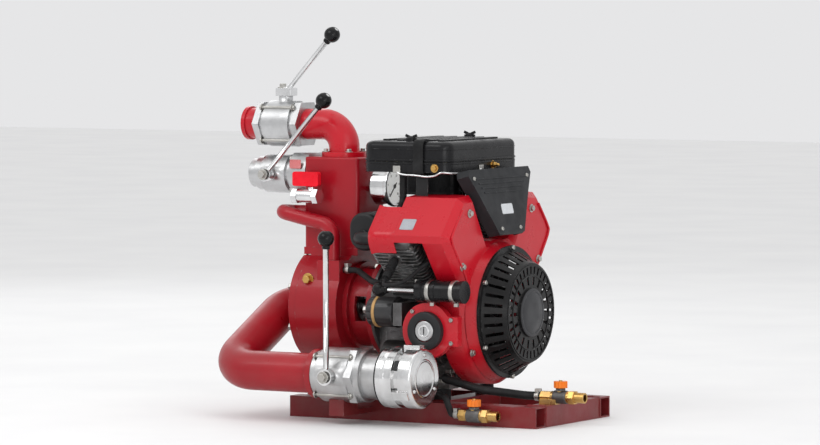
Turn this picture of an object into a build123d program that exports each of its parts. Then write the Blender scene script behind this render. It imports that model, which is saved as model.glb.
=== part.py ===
from build123d import *
import os
from math import cos, sin, tan, radians

# Portable fire pump: a V-twin petrol engine driving a single-stage centrifugal pump on a tube skid.
# Frame: X along the crankshaft, +X towards the cooling fan, -Y the operator's side, Z up.
# The origin is the middle of the four skid holes, on the underside of the skid. Units are millimetres.

os.makedirs("parts", exist_ok=True)

# ---------------------------------------------------------------- driving dimensions
SKID_LENGTH = 540.0
RAIL_Y = 130.0
TUBE = 40.0
TUBE_WALL = 3.0
SKID_HOLE_X = 240.0
SKID_HOLE_R = 5.5
ENGINE_BAR_X = (-75.0, 30.0)
CROSSBAR_X = (-235.0, *ENGINE_BAR_X, 250.0)
BOLT_HOLE_R = 5.2
ISOLATOR_Y = 84.0
ISOLATOR_R = 18.0
FOOT_Z = 62.0

CRANK_Z = 207.0
CASE_X = (-100.0, 55.0)
CASE_WALL = 8.0
PTO_X = -120.0
DECK = 92.0
BANK_ANGLE = 45.0
BANK_X = {"near": -20.0, "far": 4.0}
BANK_TILT = {"near": BANK_ANGLE, "far": -BANK_ANGLE}
BORE_R = 39.0
CRANK_THROW = 36.0
BARREL_TOP = 181.0
HEAD_TOP = 216.0
ROCKER_TOP = 238.0
FIN_HALF = 48.0
JOURNAL_R = 17.5
BEARING_R = 31.0
BEARING_WIDTH = 17.0

SHROUD_X = (58.0, 112.0)
SHROUD_R = 140.0
RING_X = 130.0
GUARD_R = 121.0
GUARD_FACE_X = 178.0
GUARD_FACE_R = 95.0
FLYWHEEL_R = 108.0

CLEANER_X = (-115.0, 75.0)
CLEANER_HALF_Y = 140.0
CLEANER_Z = 476.0
LID_TOP = 541.0

VOLUTE_X = (-282.0, -190.0)
VOLUTE_R = 112.0
IMPELLER_R = 80.0
COLUMN_X = (-297.0, -176.0)
COLUMN_HALF_Y = 52.0
COLUMN_Z = (322.0, 498.0)
COLUMN_WALL = 8.0

MAIN_PIPE_R = 30.0
MAIN_BORE_R = 25.0
MAIN_Z = 560.0
MAIN_VALVE_X = -370.0
MAIN_VALVE_HALF = 50.0
OUTLET_X = -455.0
OUTLET_BORE_R = 26.0
TANK_Z = 462.0
TANK_VALVE_X = -380.0
TANK_BORE_R = 20.0
TANK_MOUTH_R = 22.0

SUCTION_Y = -230.0
SUCTION_Z = 93.0
SUCTION_R = 38.0
SUCTION_BORE_R = 34.0
SUCTION_VALVE_X = -102.0
SUCTION_VALVE_HALF = 48.0
SUCTION_BODY_R = 52.0
CAP_X = (0.0, 76.0)
CAP_R = 57.5

LEAD_ROUTE = {"near": [(24, 222, 270), (42, 176, 302), (62, 158, 318)],
              "far": [(26, 206, 250), (46, 146, 246), (66, 112, 248)]}

RUNNING = 0.05
CLEARANCE = 0.35


# ---------------------------------------------------------------- small helpers
def rod_x(x0, x1, y, z, r):
    """A round bar along X."""
    return Pos((x0 + x1) / 2, y, z) * Rot(0, 90, 0) * Cylinder(r, abs(x1 - x0))


def rod_y(y0, y1, x, z, r):
    """A round bar along Y."""
    return Pos(x, (y0 + y1) / 2, z) * Rot(90, 0, 0) * Cylinder(r, abs(y1 - y0))


def rod_z(z0, z1, x, y, r):
    """A round bar along Z."""
    return Pos(x, y, (z0 + z1) / 2) * Cylinder(r, abs(z1 - z0))


def block(x0, x1, y0, y1, z0, z1):
    """A box between two corners."""
    middle = Pos((x0 + x1) / 2, (y0 + y1) / 2, (z0 + z1) / 2)
    return middle * Box(abs(x1 - x0), abs(y1 - y0), abs(z1 - z0))


def cone_x(x0, x1, y, z, r0, r1):
    """A cone along X, with radius r0 at x0 and r1 at x1."""
    return Pos((x0 + x1) / 2, y, z) * Rot(0, 90, 0) * Cone(r0, r1, x1 - x0)


def prism_x(points, x0, x1):
    """A (Y, Z) outline pushed along X from x0 to x1."""
    face = make_face(Polyline(*[(x0, y, z) for y, z in points], close=True))
    return extrude(face, amount=x1 - x0, dir=(1, 0, 0))


def turns(count, start=0.0):
    """Angles spaced evenly round a circle, in degrees."""
    return [start + 360.0 * i / count for i in range(count)]


def ring_of(count, radius, start=0.0):
    """Offsets of points spaced round a circle."""
    return [(radius * cos(radians(turn)), radius * sin(radians(turn))) for turn in turns(count, start)]


def corner_radii(points, share=0.45, least=0.0):
    """The largest even arcs that a run of straight lines has room for."""
    radii = []
    for a, b, c in zip(points, points[1:], points[2:]):
        before, after = Vector(*b) - Vector(*a), Vector(*c) - Vector(*b)
        half_turn = before.get_angle(after) / 2
        radii.append(max(least, share * min(before.length, after.length) / tan(radians(half_turn))))
    return radii


def pipe(points, r_out, r_in=0.0, radii=None):
    """A round pipe, hose or rod along straight runs joined by arcs."""
    path = FilletPolyline(*points, radius=radii or corner_radii(points))
    section = Circle(r_out) if r_in == 0 else Circle(r_out) - Circle(r_in)
    return sweep(Plane(origin=path @ 0, z_dir=path % 0) * section, path=path)


def hex_x(x0, x1, y, z, across):
    """A hexagonal bar along X."""
    plane = Plane(origin=(x0, y, z), x_dir=(0, 1, 0), z_dir=(1, 0, 0))
    return extrude(plane * RegularPolygon(across / 2, 6, major_radius=False), amount=x1 - x0)


def hex_z(z0, z1, x, y, across):
    """A hexagonal bar along Z."""
    return extrude(Pos(x, y, z0) * RegularPolygon(across / 2, 6, major_radius=False), amount=z1 - z0)


def bank(side):
    """The place of a cylinder bank: its own Z runs out along the bore from the crank axis."""
    return Pos(BANK_X[side], 0, CRANK_Z) * Rot(BANK_TILT[side], 0, 0)


def inner(side):
    """Which way along a bank's own Y the middle of the V lies."""
    return 1 if side == "near" else -1


NODES = {}


def node(name, *shapes):
    """Keep one or more separate solids under a name."""
    solids = [s for shape in shapes for s in shape.solids()]
    NODES[name] = solids[0] if len(solids) == 1 else Compound(solids)


# ---------------------------------------------------------------- skid
def skid():
    half = SKID_LENGTH / 2
    rails = []
    for y in (-RAIL_Y, RAIL_Y):
        tube = block(-half, half, y - TUBE / 2, y + TUBE / 2, 0, TUBE)
        tube -= block(-half, half, y - TUBE / 2 + TUBE_WALL, y + TUBE / 2 - TUBE_WALL,
                      TUBE_WALL, TUBE - TUBE_WALL)
        for x in (-SKID_HOLE_X, SKID_HOLE_X):
            tube -= rod_z(-1, TUBE + 1, x, y, SKID_HOLE_R)
        rails.append(tube)
    saddle = block(-118, -86, -256, -RAIL_Y - TUBE / 2, 16, 26) + block(-118, -86, -256, -204, 26, 52)
    saddle -= rod_x(-120, -84, SUCTION_Y, SUCTION_Z, SUCTION_BODY_R)
    node("skid_rails", *rails, saddle)
    inside = RAIL_Y - TUBE / 2
    bars = []
    for x in CROSSBAR_X:
        bar = block(x - TUBE / 2, x + TUBE / 2, -inside, inside, 0, TUBE)
        bar -= block(x - TUBE / 2 + TUBE_WALL, x + TUBE / 2 - TUBE_WALL, -inside, inside,
                     TUBE_WALL, TUBE - TUBE_WALL)
        if x in ENGINE_BAR_X:
            for y in (-ISOLATOR_Y, ISOLATOR_Y):
                bar -= rod_z(TUBE - TUBE_WALL - 1, TUBE + 1, x, y, BOLT_HOLE_R)
        bars.append(bar)
    foot = block(-255, -215, -48, 48, TUBE, TUBE + 8) + block(-242, -230, -44, 44, TUBE, 112)
    bars[0] += foot - rod_x(-256, -214, 0, CRANK_Z, VOLUTE_R) - block(-256, -214, -80, -38, 90, 124)
    node("skid_crossbars", *bars)


def isolators():
    mounts, bolts = [], []
    for x in ENGINE_BAR_X:
        for y in (-ISOLATOR_Y, ISOLATOR_Y):
            mounts.append(rod_z(TUBE, FOOT_Z, x, y, ISOLATOR_R) - rod_z(TUBE, FOOT_Z, x, y, BOLT_HOLE_R))
            bolts.append(rod_z(TUBE - TUBE_WALL - 9, FOOT_Z + 10, x, y, 5.0)
                         + hex_z(FOOT_Z + 10, FOOT_Z + 17, x, y, 17)
                         + hex_z(TUBE - TUBE_WALL - 9, TUBE - TUBE_WALL, x, y, 17))
    node("isolators", *mounts)
    return bolts


# ---------------------------------------------------------------- engine block
def case_outline():
    """The engine block's outline as (Y, Z) points: upright sides, then a deck square to each bore."""
    lean = DECK * cos(radians(45))
    deck_half = 55 * cos(radians(45))
    side = [(-72, FOOT_Z), (-72, CRANK_Z - 17), (-lean - deck_half, CRANK_Z + lean - deck_half),
            (-lean + deck_half, CRANK_Z + lean + deck_half)]
    return side + [(-y, z) for y, z in reversed(side)]


def crankcase():
    x0, x1 = CASE_X
    body = prism_x(case_outline(), x0, x1)
    body += block(x0 + 8, x1, -98, 98, FOOT_Z, FOOT_Z + 10)
    for z in range(86, 180, 16):
        for y0, y1 in ((-75, -72), (72, 75)):
            body += block(x0 + 10, x1 - 26, y0, y1, z, z + 4)
    body += block(-35, -16, -158, -70, 184, 228)
    hollow = [(-64, 74), (-64, 195), (-92, 232), (-20, 300), (20, 300), (92, 232), (64, 195), (64, 74)]
    body -= prism_x(hollow, x0, x1 - CASE_WALL)
    body += rod_x(x1 - 19, x1, 0, CRANK_Z, 42)
    body -= rod_x(x1 - BEARING_WIDTH, x1 + 1, 0, CRANK_Z, BEARING_R)
    body -= rod_x(x1 - 20, x1, 0, CRANK_Z, JOURNAL_R + 3)
    for side in BANK_X:
        body -= bank(side) * Pos(0, 0, DECK - 10) * Cylinder(BORE_R + 2, 40)
    tube = Pos(-60, 72, 140) * Rot(-37, 0, 0)
    body += tube * Pos(0, 0, 28) * Cylinder(9, 72)
    body -= tube * Pos(0, 0, 30) * Cylinder(6, 120)
    for x in ENGINE_BAR_X:
        for y in (-ISOLATOR_Y, ISOLATOR_Y):
            body -= rod_z(FOOT_Z - 1, FOOT_Z + 11, x, y, BOLT_HOLE_R)
    node("crankcase", body)


def dipstick():
    place = Pos(-60, 72, 140) * Rot(-37, 0, 0)
    stick = place * Pos(0, 0, 20) * Cylinder(2.2, 96) + place * Pos(0, 0, 71) * Cylinder(12, 14)
    stick += place * Pos(0, 0, 82) * Torus(9, 2.5).rotate(Axis.X, 90)
    node("dipstick", stick)


def pto_cover():
    x0, x1 = PTO_X, CASE_X[0]
    cover = prism_x(case_outline(), x0 + 6, x1)
    cover -= prism_x([(-72, FOOT_Z - 1), (-72, 76), (72, 76), (72, FOOT_Z - 1)], x0, x1)
    cover += rod_x(x0, x0 + 6, 0, CRANK_Z, 100)
    cover -= rod_x(x1 - BEARING_WIDTH, x1 + 1, 0, CRANK_Z, BEARING_R)
    cover -= rod_x(x0 - 1, x1, 0, CRANK_Z, JOURNAL_R + 3)
    node("pto_cover", cover)


def bearings():
    rings = []
    for x0 in (CASE_X[0] - BEARING_WIDTH, CASE_X[1] - BEARING_WIDTH):
        ring = rod_x(x0, x0 + BEARING_WIDTH, 0, CRANK_Z, BEARING_R)
        rings.append(ring - rod_x(x0, x0 + BEARING_WIDTH, 0, CRANK_Z, JOURNAL_R + RUNNING))
    node("main_bearings", *rings)


def crankshaft():
    shaft = rod_x(-218, -38, 0, CRANK_Z, JOURNAL_R) + rod_x(26, 58, 0, CRANK_Z, JOURNAL_R)
    shaft -= rod_x(-218, -180, 0, CRANK_Z, 40) - rod_x(-218, -180, 0, CRANK_Z, 14)
    shaft += rod_x(58, 112, 0, CRANK_Z, 13) + rod_x(-252, -218, 0, CRANK_Z, 12)
    pin_z = CRANK_Z + CRANK_THROW
    for x in (-46, 18):
        web = prism_x([(-22, pin_z), (22, pin_z), (30, CRANK_Z), (-30, CRANK_Z)], x, x + 12)
        web += rod_x(x, x + 12, 0, pin_z, 20)
        lobe = rod_x(x, x + 12, 0, CRANK_Z, 57)
        web += lobe & block(x, x + 12, -60, 60, CRANK_Z - 60, CRANK_Z + 2)
        shaft += web
    shaft += rod_x(-34, 18, 0, pin_z, 16)
    shaft += hex_x(112, 126, 0, CRANK_Z, 30)
    node("crankshaft", shaft)


def cylinders():
    barrels = []
    for side in BANK_X:
        shape = Pos(0, 0, (DECK + BARREL_TOP) / 2) * Cylinder(BORE_R + 7, BARREL_TOP - DECK)
        shape += Pos(0, 0, DECK + 4) * Box(96, 96, 8)
        for i in range(9):
            fin = RectangleRounded(2 * FIN_HALF, 2 * FIN_HALF, 14)
            shape += Pos(0, 0, DECK + 14 + 8 * i) * extrude(fin, amount=2.6)
        shape -= Pos(0, 0, (DECK + BARREL_TOP) / 2) * Cylinder(BORE_R, BARREL_TOP - DECK + 2)
        barrels.append(bank(side) * shape)
    node("cylinders", *barrels)


def plug_place(side):
    """A spark plug's place, on the outside of the head and a little towards the fan."""
    return Pos(0, -50 * inner(side), BARREL_TOP + 18) * Rot(90 * inner(side), 0, 0)


def heads():
    blocks, covers = [], []
    for side in BANK_X:
        tall = HEAD_TOP - BARREL_TOP
        head = Pos(0, 0, BARREL_TOP + tall / 2) * Box(88, 88, tall)
        for i in range(4):
            fin = RectangleRounded(100, 100, 12)
            head += Pos(0, 0, BARREL_TOP + 2 + 9 * i) * extrude(fin, amount=3)
        head += Pos(-47, 0, BARREL_TOP + 18) * Box(6, 44, 30)
        head += Pos(0, 47 * inner(side), BARREL_TOP + 18) * Box(44, 6, 30)
        head += plug_place(side) * Pos(0, 0, -3) * Cylinder(14, 6)
        head -= plug_place(side) * Pos(0, 0, -8) * Cylinder(7, 20)
        head -= Pos(0, 0, BARREL_TOP) * Cylinder(BORE_R - 1, 14)
        head -= Pos(-35, 0, BARREL_TOP + 18) * Rot(0, 90, 0) * Cylinder(12, 40)
        head -= Pos(0, 35 * inner(side), BARREL_TOP + 18) * Rot(90, 0, 0) * Cylinder(13, 40)
        blocks.append(bank(side) * head)
        outer = extrude(RectangleRounded(84, 84, 14), amount=ROCKER_TOP - HEAD_TOP)
        outer = fillet(outer.faces().sort_by(Axis.Z)[-1].edges(), 6)
        hollow = extrude(RectangleRounded(76, 76, 10), amount=ROCKER_TOP - HEAD_TOP - 4)
        rim = extrude(RectangleRounded(94, 94, 16) - RectangleRounded(76, 76, 10), amount=4)
        cover = outer - hollow + rim
        if side == "near":
            cover += Pos(-20, 40, 11) * Rot(90, 0, 0) * Cylinder(6, 28) - hollow
        covers.append(bank(side) * Pos(0, 0, HEAD_TOP) * cover)
    node("cylinder_heads", *blocks)
    node("rocker_covers", *covers)


def spark_plugs():
    plugs, leads = [], []
    for side in BANK_X:
        place = bank(side) * plug_place(side)
        plugs.append(place * (Pos(0, 0, -3) * Cylinder(6.8, 14) + Pos(0, 0, 12) * Cylinder(9, 16)
                              + Pos(0, 0, 34) * Cylinder(8, 28)))
        out, x = -inner(side), BANK_X[side]
        end = (place * Pos(0, 0, 48)).position
        route = [(x, end.Y, end.Z), (x, end.Y + 13 * out, end.Z - 13)]
        route += [(px, py * out, pz) for px, py, pz in LEAD_ROUTE[side]]
        leads.append(pipe(route, 3.5))
    node("spark_plugs", *plugs)
    node("plug_leads", *leads)


def pistons():
    for side in BANK_X:
        shape = Pos(0, 0, 120.5) * Cylinder(BORE_R - RUNNING, 45)
        shape -= Pos(0, 0, 112) * Cylinder(31, 44)
        for dz in (133, 137.5):
            shape -= Pos(0, 0, dz) * (Cylinder(BORE_R + 1, 1.5) - Cylinder(BORE_R - 3, 1.5))
        shape += Pos(0, 0, 115) * Rot(0, 90, 0) * Cylinder(9, 66)
        node("piston_" + side, bank(side) * shape)


# ---------------------------------------------------------------- fan side of the engine
def shroud_outline(inset=0.0):
    """The near half of the housing's front outline above the crankshaft, as (Y, Z) points."""
    i = inset
    return [(-SHROUD_R + i, CRANK_Z), (-142 + i, 262), (-209 + 1.3 * i, 346), (-212 + i, 360),
            (-150 + i * 0.7, 430 - i), (-104 - i * 0.5, 434 - i), (-50, 344 - 1.4 * i)]


def shroud_solid(x0, x1, inset=0.0):
    near = shroud_outline(inset)
    whole = prism_x(near + [(-y, z) for y, z in reversed(near)], x0, x1)
    return whole + rod_x(x0, x1, 0, CRANK_Z, SHROUD_R - inset)


def fan_shroud():
    x0, x1 = SHROUD_X
    shell = shroud_solid(x0, x1)
    shell = chamfer(shell.faces().sort_by(Axis.X)[-1].outer_wire().edges(), 12)
    space = shroud_solid(x0 - 1, x1 - 3, 3)
    shell -= chamfer(space.faces().sort_by(Axis.X)[-1].outer_wire().edges(), 11)
    shell += cone_x(x1 - 3, RING_X, 0, CRANK_Z, 134, 124)
    shell -= cone_x(x1 - 3.5, RING_X + 0.1, 0, CRANK_Z, 130, 119.5)
    shell -= rod_x(x1 - 4, RING_X + 1, 0, CRANK_Z, 118)
    hood = shroud_solid(-10, x0) - shroud_solid(-11, x0 + 1, 3)
    for sign in (-1, 1):
        edge = (sign * 107, sign * 235)
        shell += hood & block(-10, x0, min(edge), max(edge), 346, 440)
    node("fan_shroud", shell)


def fan_guard():
    shell = cone_x(RING_X, GUARD_FACE_X, 0, CRANK_Z, GUARD_R, GUARD_FACE_R)
    shell -= cone_x(RING_X - 1, GUARD_FACE_X - 3, 0, CRANK_Z, GUARD_R - 2.5, GUARD_FACE_R - 2)
    shell += rod_x(RING_X, RING_X + 5, 0, CRANK_Z, 127) - rod_x(RING_X, RING_X + 5, 0, CRANK_Z, GUARD_R - 4)
    cutter = None
    for turn in turns(36):
        place = Pos(0, 0, CRANK_Z) * Rot(turn, 0, 0)
        slots = place * block(RING_X + 9, GUARD_FACE_X - 8, GUARD_FACE_R - 2, GUARD_R + 4, -3.2, 3.2)
        slots += place * block(GUARD_FACE_X - 4, GUARD_FACE_X + 1, 74, 88, -2.8, 2.8)
        if round(turn / 10) % 2 == 0:
            slots += place * block(GUARD_FACE_X - 4, GUARD_FACE_X + 1, 53, 69, -3.4, 3.4)
        cutter = slots if cutter is None else cutter + slots
    shell -= cutter
    shell += rod_x(GUARD_FACE_X, GUARD_FACE_X + 3, 0, CRANK_Z, 47)
    node("fan_guard", shell)


def flywheel():
    wheel = rod_x(62, 72, 0, CRANK_Z, 98) + rod_x(62, 69, 0, CRANK_Z, FLYWHEEL_R)
    wheel += rod_x(62, 104, 0, CRANK_Z, 26)
    for turn in turns(18):
        blade = block(72, 102, 56, 98, -1.5, 1.5)
        wheel += Pos(0, 0, CRANK_Z) * Rot(turn, 0, 0) * blade
    for turn in turns(72):
        gap = block(61, 70, FLYWHEEL_R - 4, FLYWHEEL_R + 1, -1.2, 1.2)
        wheel -= Pos(0, 0, CRANK_Z) * Rot(turn, 0, 0) * gap
    wheel -= rod_x(61, 105, 0, CRANK_Z, 13)
    node("flywheel_fan", wheel)


def front_cover():
    top, bottom = Vector(82, 0, 476), Vector(113, 0, 350)
    rise = (top - bottom).length
    up = (top - bottom).normalized()
    plane = Plane(origin=bottom, x_dir=(0, 1, 0), z_dir=Vector(0, 1, 0).cross(up))
    outline = [(-48, 0), (48, 0), (100, 84), (123, rise - 12), (118, rise), (-118, rise), (-123, rise - 12),
               (-100, 84)]
    plate = extrude(plane * make_face(Polyline(*outline, close=True)), amount=26)
    plate = chamfer(plate.faces().sort_by(Axis.X)[-1].edges(), 4)
    inside = [(-44, -1), (44, -1), (96, 84), (118, rise - 12), (114, rise - 4), (-114, rise - 4),
              (-118, rise - 12), (-96, 84)]
    plate -= extrude(plane * Pos(0, 0, -1) * make_face(Polyline(*inside, close=True)), amount=23)
    node("front_cover", plate)


# ---------------------------------------------------------------- intake, exhaust and small parts
def intake():
    pipes = None
    for side in BANK_X:
        port = (bank(side) * Pos(0, 50 * inner(side), BARREL_TOP + 18)).position
        step = 18 * inner(side) * 0.7071
        route = [tuple(port), (port.X, port.Y + step, port.Z + abs(step)), (-8, -3 * inner(side), 408)]
        runner = pipe(route, 15)
        pipes = runner if pipes is None else pipes + runner
    pipes += rod_z(400, 426, -8, 0, 19)
    pipes -= rod_z(404, 427, -8, 0, 14)
    node("intake_manifold", pipes.solids().sort_by(SortBy.VOLUME)[-1])
    body = block(-36, 20, -24, 24, 426, 462) + rod_z(462, CLEANER_Z, -8, 0, 22)
    body += rod_y(24, 44, -8, 440, 16) + rod_z(426, 434, -8, 0, 24)
    body -= rod_z(426, CLEANER_Z, -8, 0, 14)
    body -= rod_x(-40, -28, 0, 444, 3.3)
    node("carburettor", body)
    lever = rod_x(-42, -29, 0, 444, 3) + block(-46, -42, -6, 6, 438, 470) + rod_x(-52, -42, 0, 465, 3)
    node("throttle_lever", lever)


def air_cleaner():
    x0, x1 = CLEANER_X
    mid, long, wide = (x0 + x1) / 2, x1 - x0, 2 * CLEANER_HALF_Y
    tray = Pos(mid, 0, CLEANER_Z) * extrude(RectangleRounded(long, wide, 22), amount=20)
    tray -= Pos(mid, 0, CLEANER_Z + 4) * extrude(RectangleRounded(long - 8, wide - 8, 18), amount=20)
    tray -= rod_z(CLEANER_Z - 1, CLEANER_Z + 6, -8, 0, 16)
    node("air_cleaner_base", tray)
    element = Pos(mid, 0, CLEANER_Z + 10) * extrude(RectangleRounded(long - 30, wide - 30, 10), amount=34)
    element -= Pos(mid, 0, CLEANER_Z + 9) * extrude(RectangleRounded(long - 90, wide - 90, 6), amount=30)
    element += Pos(mid, 0, CLEANER_Z + 4) * extrude(
        RectangleRounded(long - 12, wide - 12, 14) - RectangleRounded(long - 90, wide - 90, 6), amount=6)
    node("air_filter", element)
    base = CLEANER_Z + 20.5
    lid = Pos(mid, 0, base) * extrude(RectangleRounded(long, wide, 24), amount=LID_TOP - base - 6)
    lid = fillet(lid.faces().sort_by(Axis.Z)[-1].edges(), 12)
    hollow = extrude(RectangleRounded(long - 8, wide - 8, 20), amount=LID_TOP - base - 10)
    lid -= Pos(mid, 0, base - 1) * hollow
    for x in range(-6, 7, 3):
        rib = Pos(mid + 10 * x, 0, LID_TOP - 6) * extrude(RectangleRounded(14, wide - 60, 6), amount=3)
        lid += rib
    lid += Pos(mid, -CLEANER_HALF_Y + 26, LID_TOP - 6) * Cylinder(11, 12)
    lid += Pos(mid, CLEANER_HALF_Y - 26, LID_TOP - 6) * Cylinder(11, 12)
    node("air_cleaner_lid", lid)


def exhaust():
    drum = extrude(Plane.XZ.offset(115) * Pos(-127, 359) * RectangleRounded(64, 74, 30), amount=-230)
    drum = fillet(drum.faces().sort_by(Axis.Y)[0].edges() + drum.faces().sort_by(Axis.Y)[-1].edges(), 8)
    pipes = [pipe([(-127, 115, 375), (-127, 152, 375), (-127, 176, 399)], 10, 8.5)]
    for side in BANK_X:
        port = (bank(side) * Pos(-50, 0, BARREL_TOP + 18)).position
        out = -inner(side)
        route = [tuple(port), (-127, port.Y, port.Z), (-127, 115 * out, port.Z)]
        pipes.append(pipe(route, 13, 11, [22]))
    node("muffler", drum, *pipes)


def starter():
    y, z = -103, 126
    body = rod_x(-78, 18, y, z, 26) + rod_x(-82, -78, y, z, 21) + rod_x(18, 34, y, z, 22)
    body += rod_x(34, 46, y, z, 15) + rod_x(46, 57, y, z, 7)
    body += block(20, 34, -90, -75, 112, 134)
    node("starter_motor", body)
    can = rod_x(-100, -39, -128, 208, 29)
    can = fillet(can.faces().sort_by(Axis.X)[0].edges(), 7)
    can += rod_x(-39, -35, -128, 208, 25)
    for dy, dz in ring_of(12, 29):
        can -= rod_x(-101, -86, -128 + dy, 208 + dz, 2.2)
    node("oil_filter", can)


def control_housing():
    lobe = rod_y(-168, -136, 45, 178, 53) & block(-10, 54, -170, -130, 120, 235)
    lobe += rod_y(-168, -152, 45, 178, 53) + block(45, 112, -168, -152, 150, 206)
    lobe = lobe - rod_y(-160, -130, 45, 178, 48)
    lobe += block(4, 28, -160, -75, 163, 178)
    lobe += rod_y(-176, -160, 45, 178, 35.5)
    lobe -= rod_y(-177, -166, 45, 178, 20 + CLEARANCE)
    node("control_housing", lobe)
    knob = rod_y(-180, -166.3, 45, 178, 20)
    knob = fillet(knob.faces().sort_by(Axis.Y)[0].edges(), 3)
    knob -= block(44, 46, -181, -176, 168, 188)
    node("ignition_switch", knob)


def primer():
    barrel = rod_x(30, 130, -172, 254, 20)
    for x0, x1 in ((30, 44), (66, 72), (122, 130)):
        barrel += rod_x(x0, x1, -172, 254, 21.5)
    barrel -= rod_x(34, 126, -172, 254, 16)
    barrel -= rod_x(29, 35, -172, 254, 4.3)
    for x in (52, 104):
        barrel += block(x, x + 10, -157, -143.5, 236, 256) - rod_x(x, x + 10, -172, 254, 17)
    barrel -= rod_x(29, 33, -161, 262, 3)
    node("primer_barrel", barrel)
    plunger = rod_x(-46, 112, -172, 254, 4) + rod_x(100, 110, -172, 254, 15.6)
    plunger += Pos(-56, -172, 254) * Rot(0, 0, 90) * Sphere(14)
    node("primer_plunger", plunger)


def hoses():
    breather = bank("near") * Pos(-20, 54, HEAD_TOP + 11)
    start = breather.position
    rise = [tuple(start), (start.X, start.Y + 12, start.Z + 12), (start.X, start.Y + 12, CLEANER_Z)]
    lines = [pipe(rise, 7, 4.5)]
    lines.append(pipe([(30, -161, 262), (14, -161, 262), (-30, -146, 258), (-100, -124, 264),
                       (-160, -80, 282), (-190, -80, 282)], 6, 0, [30, 40, 40, 30]))
    lines.append(pipe([(46, -72, 84), (46, -108, 84), (130, -112, 66), (200, -60, 54), (235, -60, 54)],
                      8, 0, [14, 34, 22]))
    lines.append(pipe([(-236, -78, 108), (-236, -106, 108), (-200, -118, 56), (40, -118, 54), (84, -164, 52),
                       (101, -172, 22), (120, -172, 22)], 6, 0, [12, 24, 24, 14, 8]))
    node("rubber_hoses", *lines)


# ---------------------------------------------------------------- pump
def bell_adapter():
    x0, x1 = VOLUTE_X[1], PTO_X
    bell = rod_x(x0, x1, 0, CRANK_Z, 78)
    bell += rod_x(x1 - 10, x1, 0, CRANK_Z, 100) + rod_x(x0, x0 + 10, 0, CRANK_Z, 88)
    bell -= rod_x(x0 - 1, x1 + 1, 0, CRANK_Z, 70)
    for turn in (0, 90, 180, 270):
        bell -= Pos(0, 0, CRANK_Z) * Rot(turn, 0, 0) * block(-168, -142, 50, 90, -24, 24)
    node("bell_adapter", bell)


def volute():
    x0, x1 = VOLUTE_X
    lo, hi = COLUMN_X
    body = rod_x(x0, x1, 0, CRANK_Z, VOLUTE_R) + block(x0, x1, -COLUMN_HALF_Y, COLUMN_HALF_Y, CRANK_Z, 312)
    body += block(lo, hi, -COLUMN_HALF_Y, COLUMN_HALF_Y, 308, COLUMN_Z[0])
    body += block(-240, x1, -98, -50, 230, 300)
    body += block(-250, -222, -78, -40, 92, 122)
    body -= rod_x(x0 - 1, x1 - 14, 0, CRANK_Z, 92)
    body -= block(-266, -206, -36, 36, 250, COLUMN_Z[0] + 1)
    body -= rod_x(x1 - 15, x1 + 1, 0, CRANK_Z, 26)
    body -= rod_z(260, 301, -215, -80, 10)
    node("pump_volute", body)
    cover = rod_x(x0 - 15, x0, 0, CRANK_Z, VOLUTE_R) + rod_x(x0 - 34, x0 - 15, 0, CRANK_Z, 46)
    cover += rod_x(x0, x0 + 6, 0, CRANK_Z, 91.5)
    cover -= rod_x(x0 - 35, x0 + 7, 0, CRANK_Z, SUCTION_BORE_R)
    cover -= block(lo - 1, x0, -COLUMN_HALF_Y - 1, COLUMN_HALF_Y + 1, 306, 330)
    node("suction_cover", cover)


def impeller():
    x0, x1 = -270, -224
    wheel = rod_x(x1 - 6, x1, 0, CRANK_Z, IMPELLER_R) + rod_x(x0 + 8, x0 + 12, 0, CRANK_Z, IMPELLER_R)
    wheel -= rod_x(x0 + 7, x0 + 13, 0, CRANK_Z, 34)
    wheel += rod_x(x0 + 4, x0 + 12, 0, CRANK_Z, 38) - rod_x(x0, x0 + 13, 0, CRANK_Z, 33.5)
    wheel += rod_x(x0 + 16, x1, 0, CRANK_Z, 20)
    for turn in turns(6):
        vane = Pos(0, 0, CRANK_Z) * Rot(turn, 0, 0)
        for step in range(5):
            piece = block(x0 + 12, x1 - 6, 30 + 10 * step, 42 + 10 * step, -2, 2)
            wheel += vane * Rot(-9 * step, 0, 0) * piece
    wheel -= rod_x(x0, x1 + 1, 0, CRANK_Z, 12)
    node("impeller", wheel)
    seal = rod_x(-204, -190, 0, CRANK_Z, 26) - rod_x(-205, -189, 0, CRANK_Z, 14 + RUNNING)
    seal += rod_x(-190, -186, 0, CRANK_Z, 32) - rod_x(-191, -185, 0, CRANK_Z, 14 + RUNNING)
    node("shaft_seal", seal)


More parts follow.
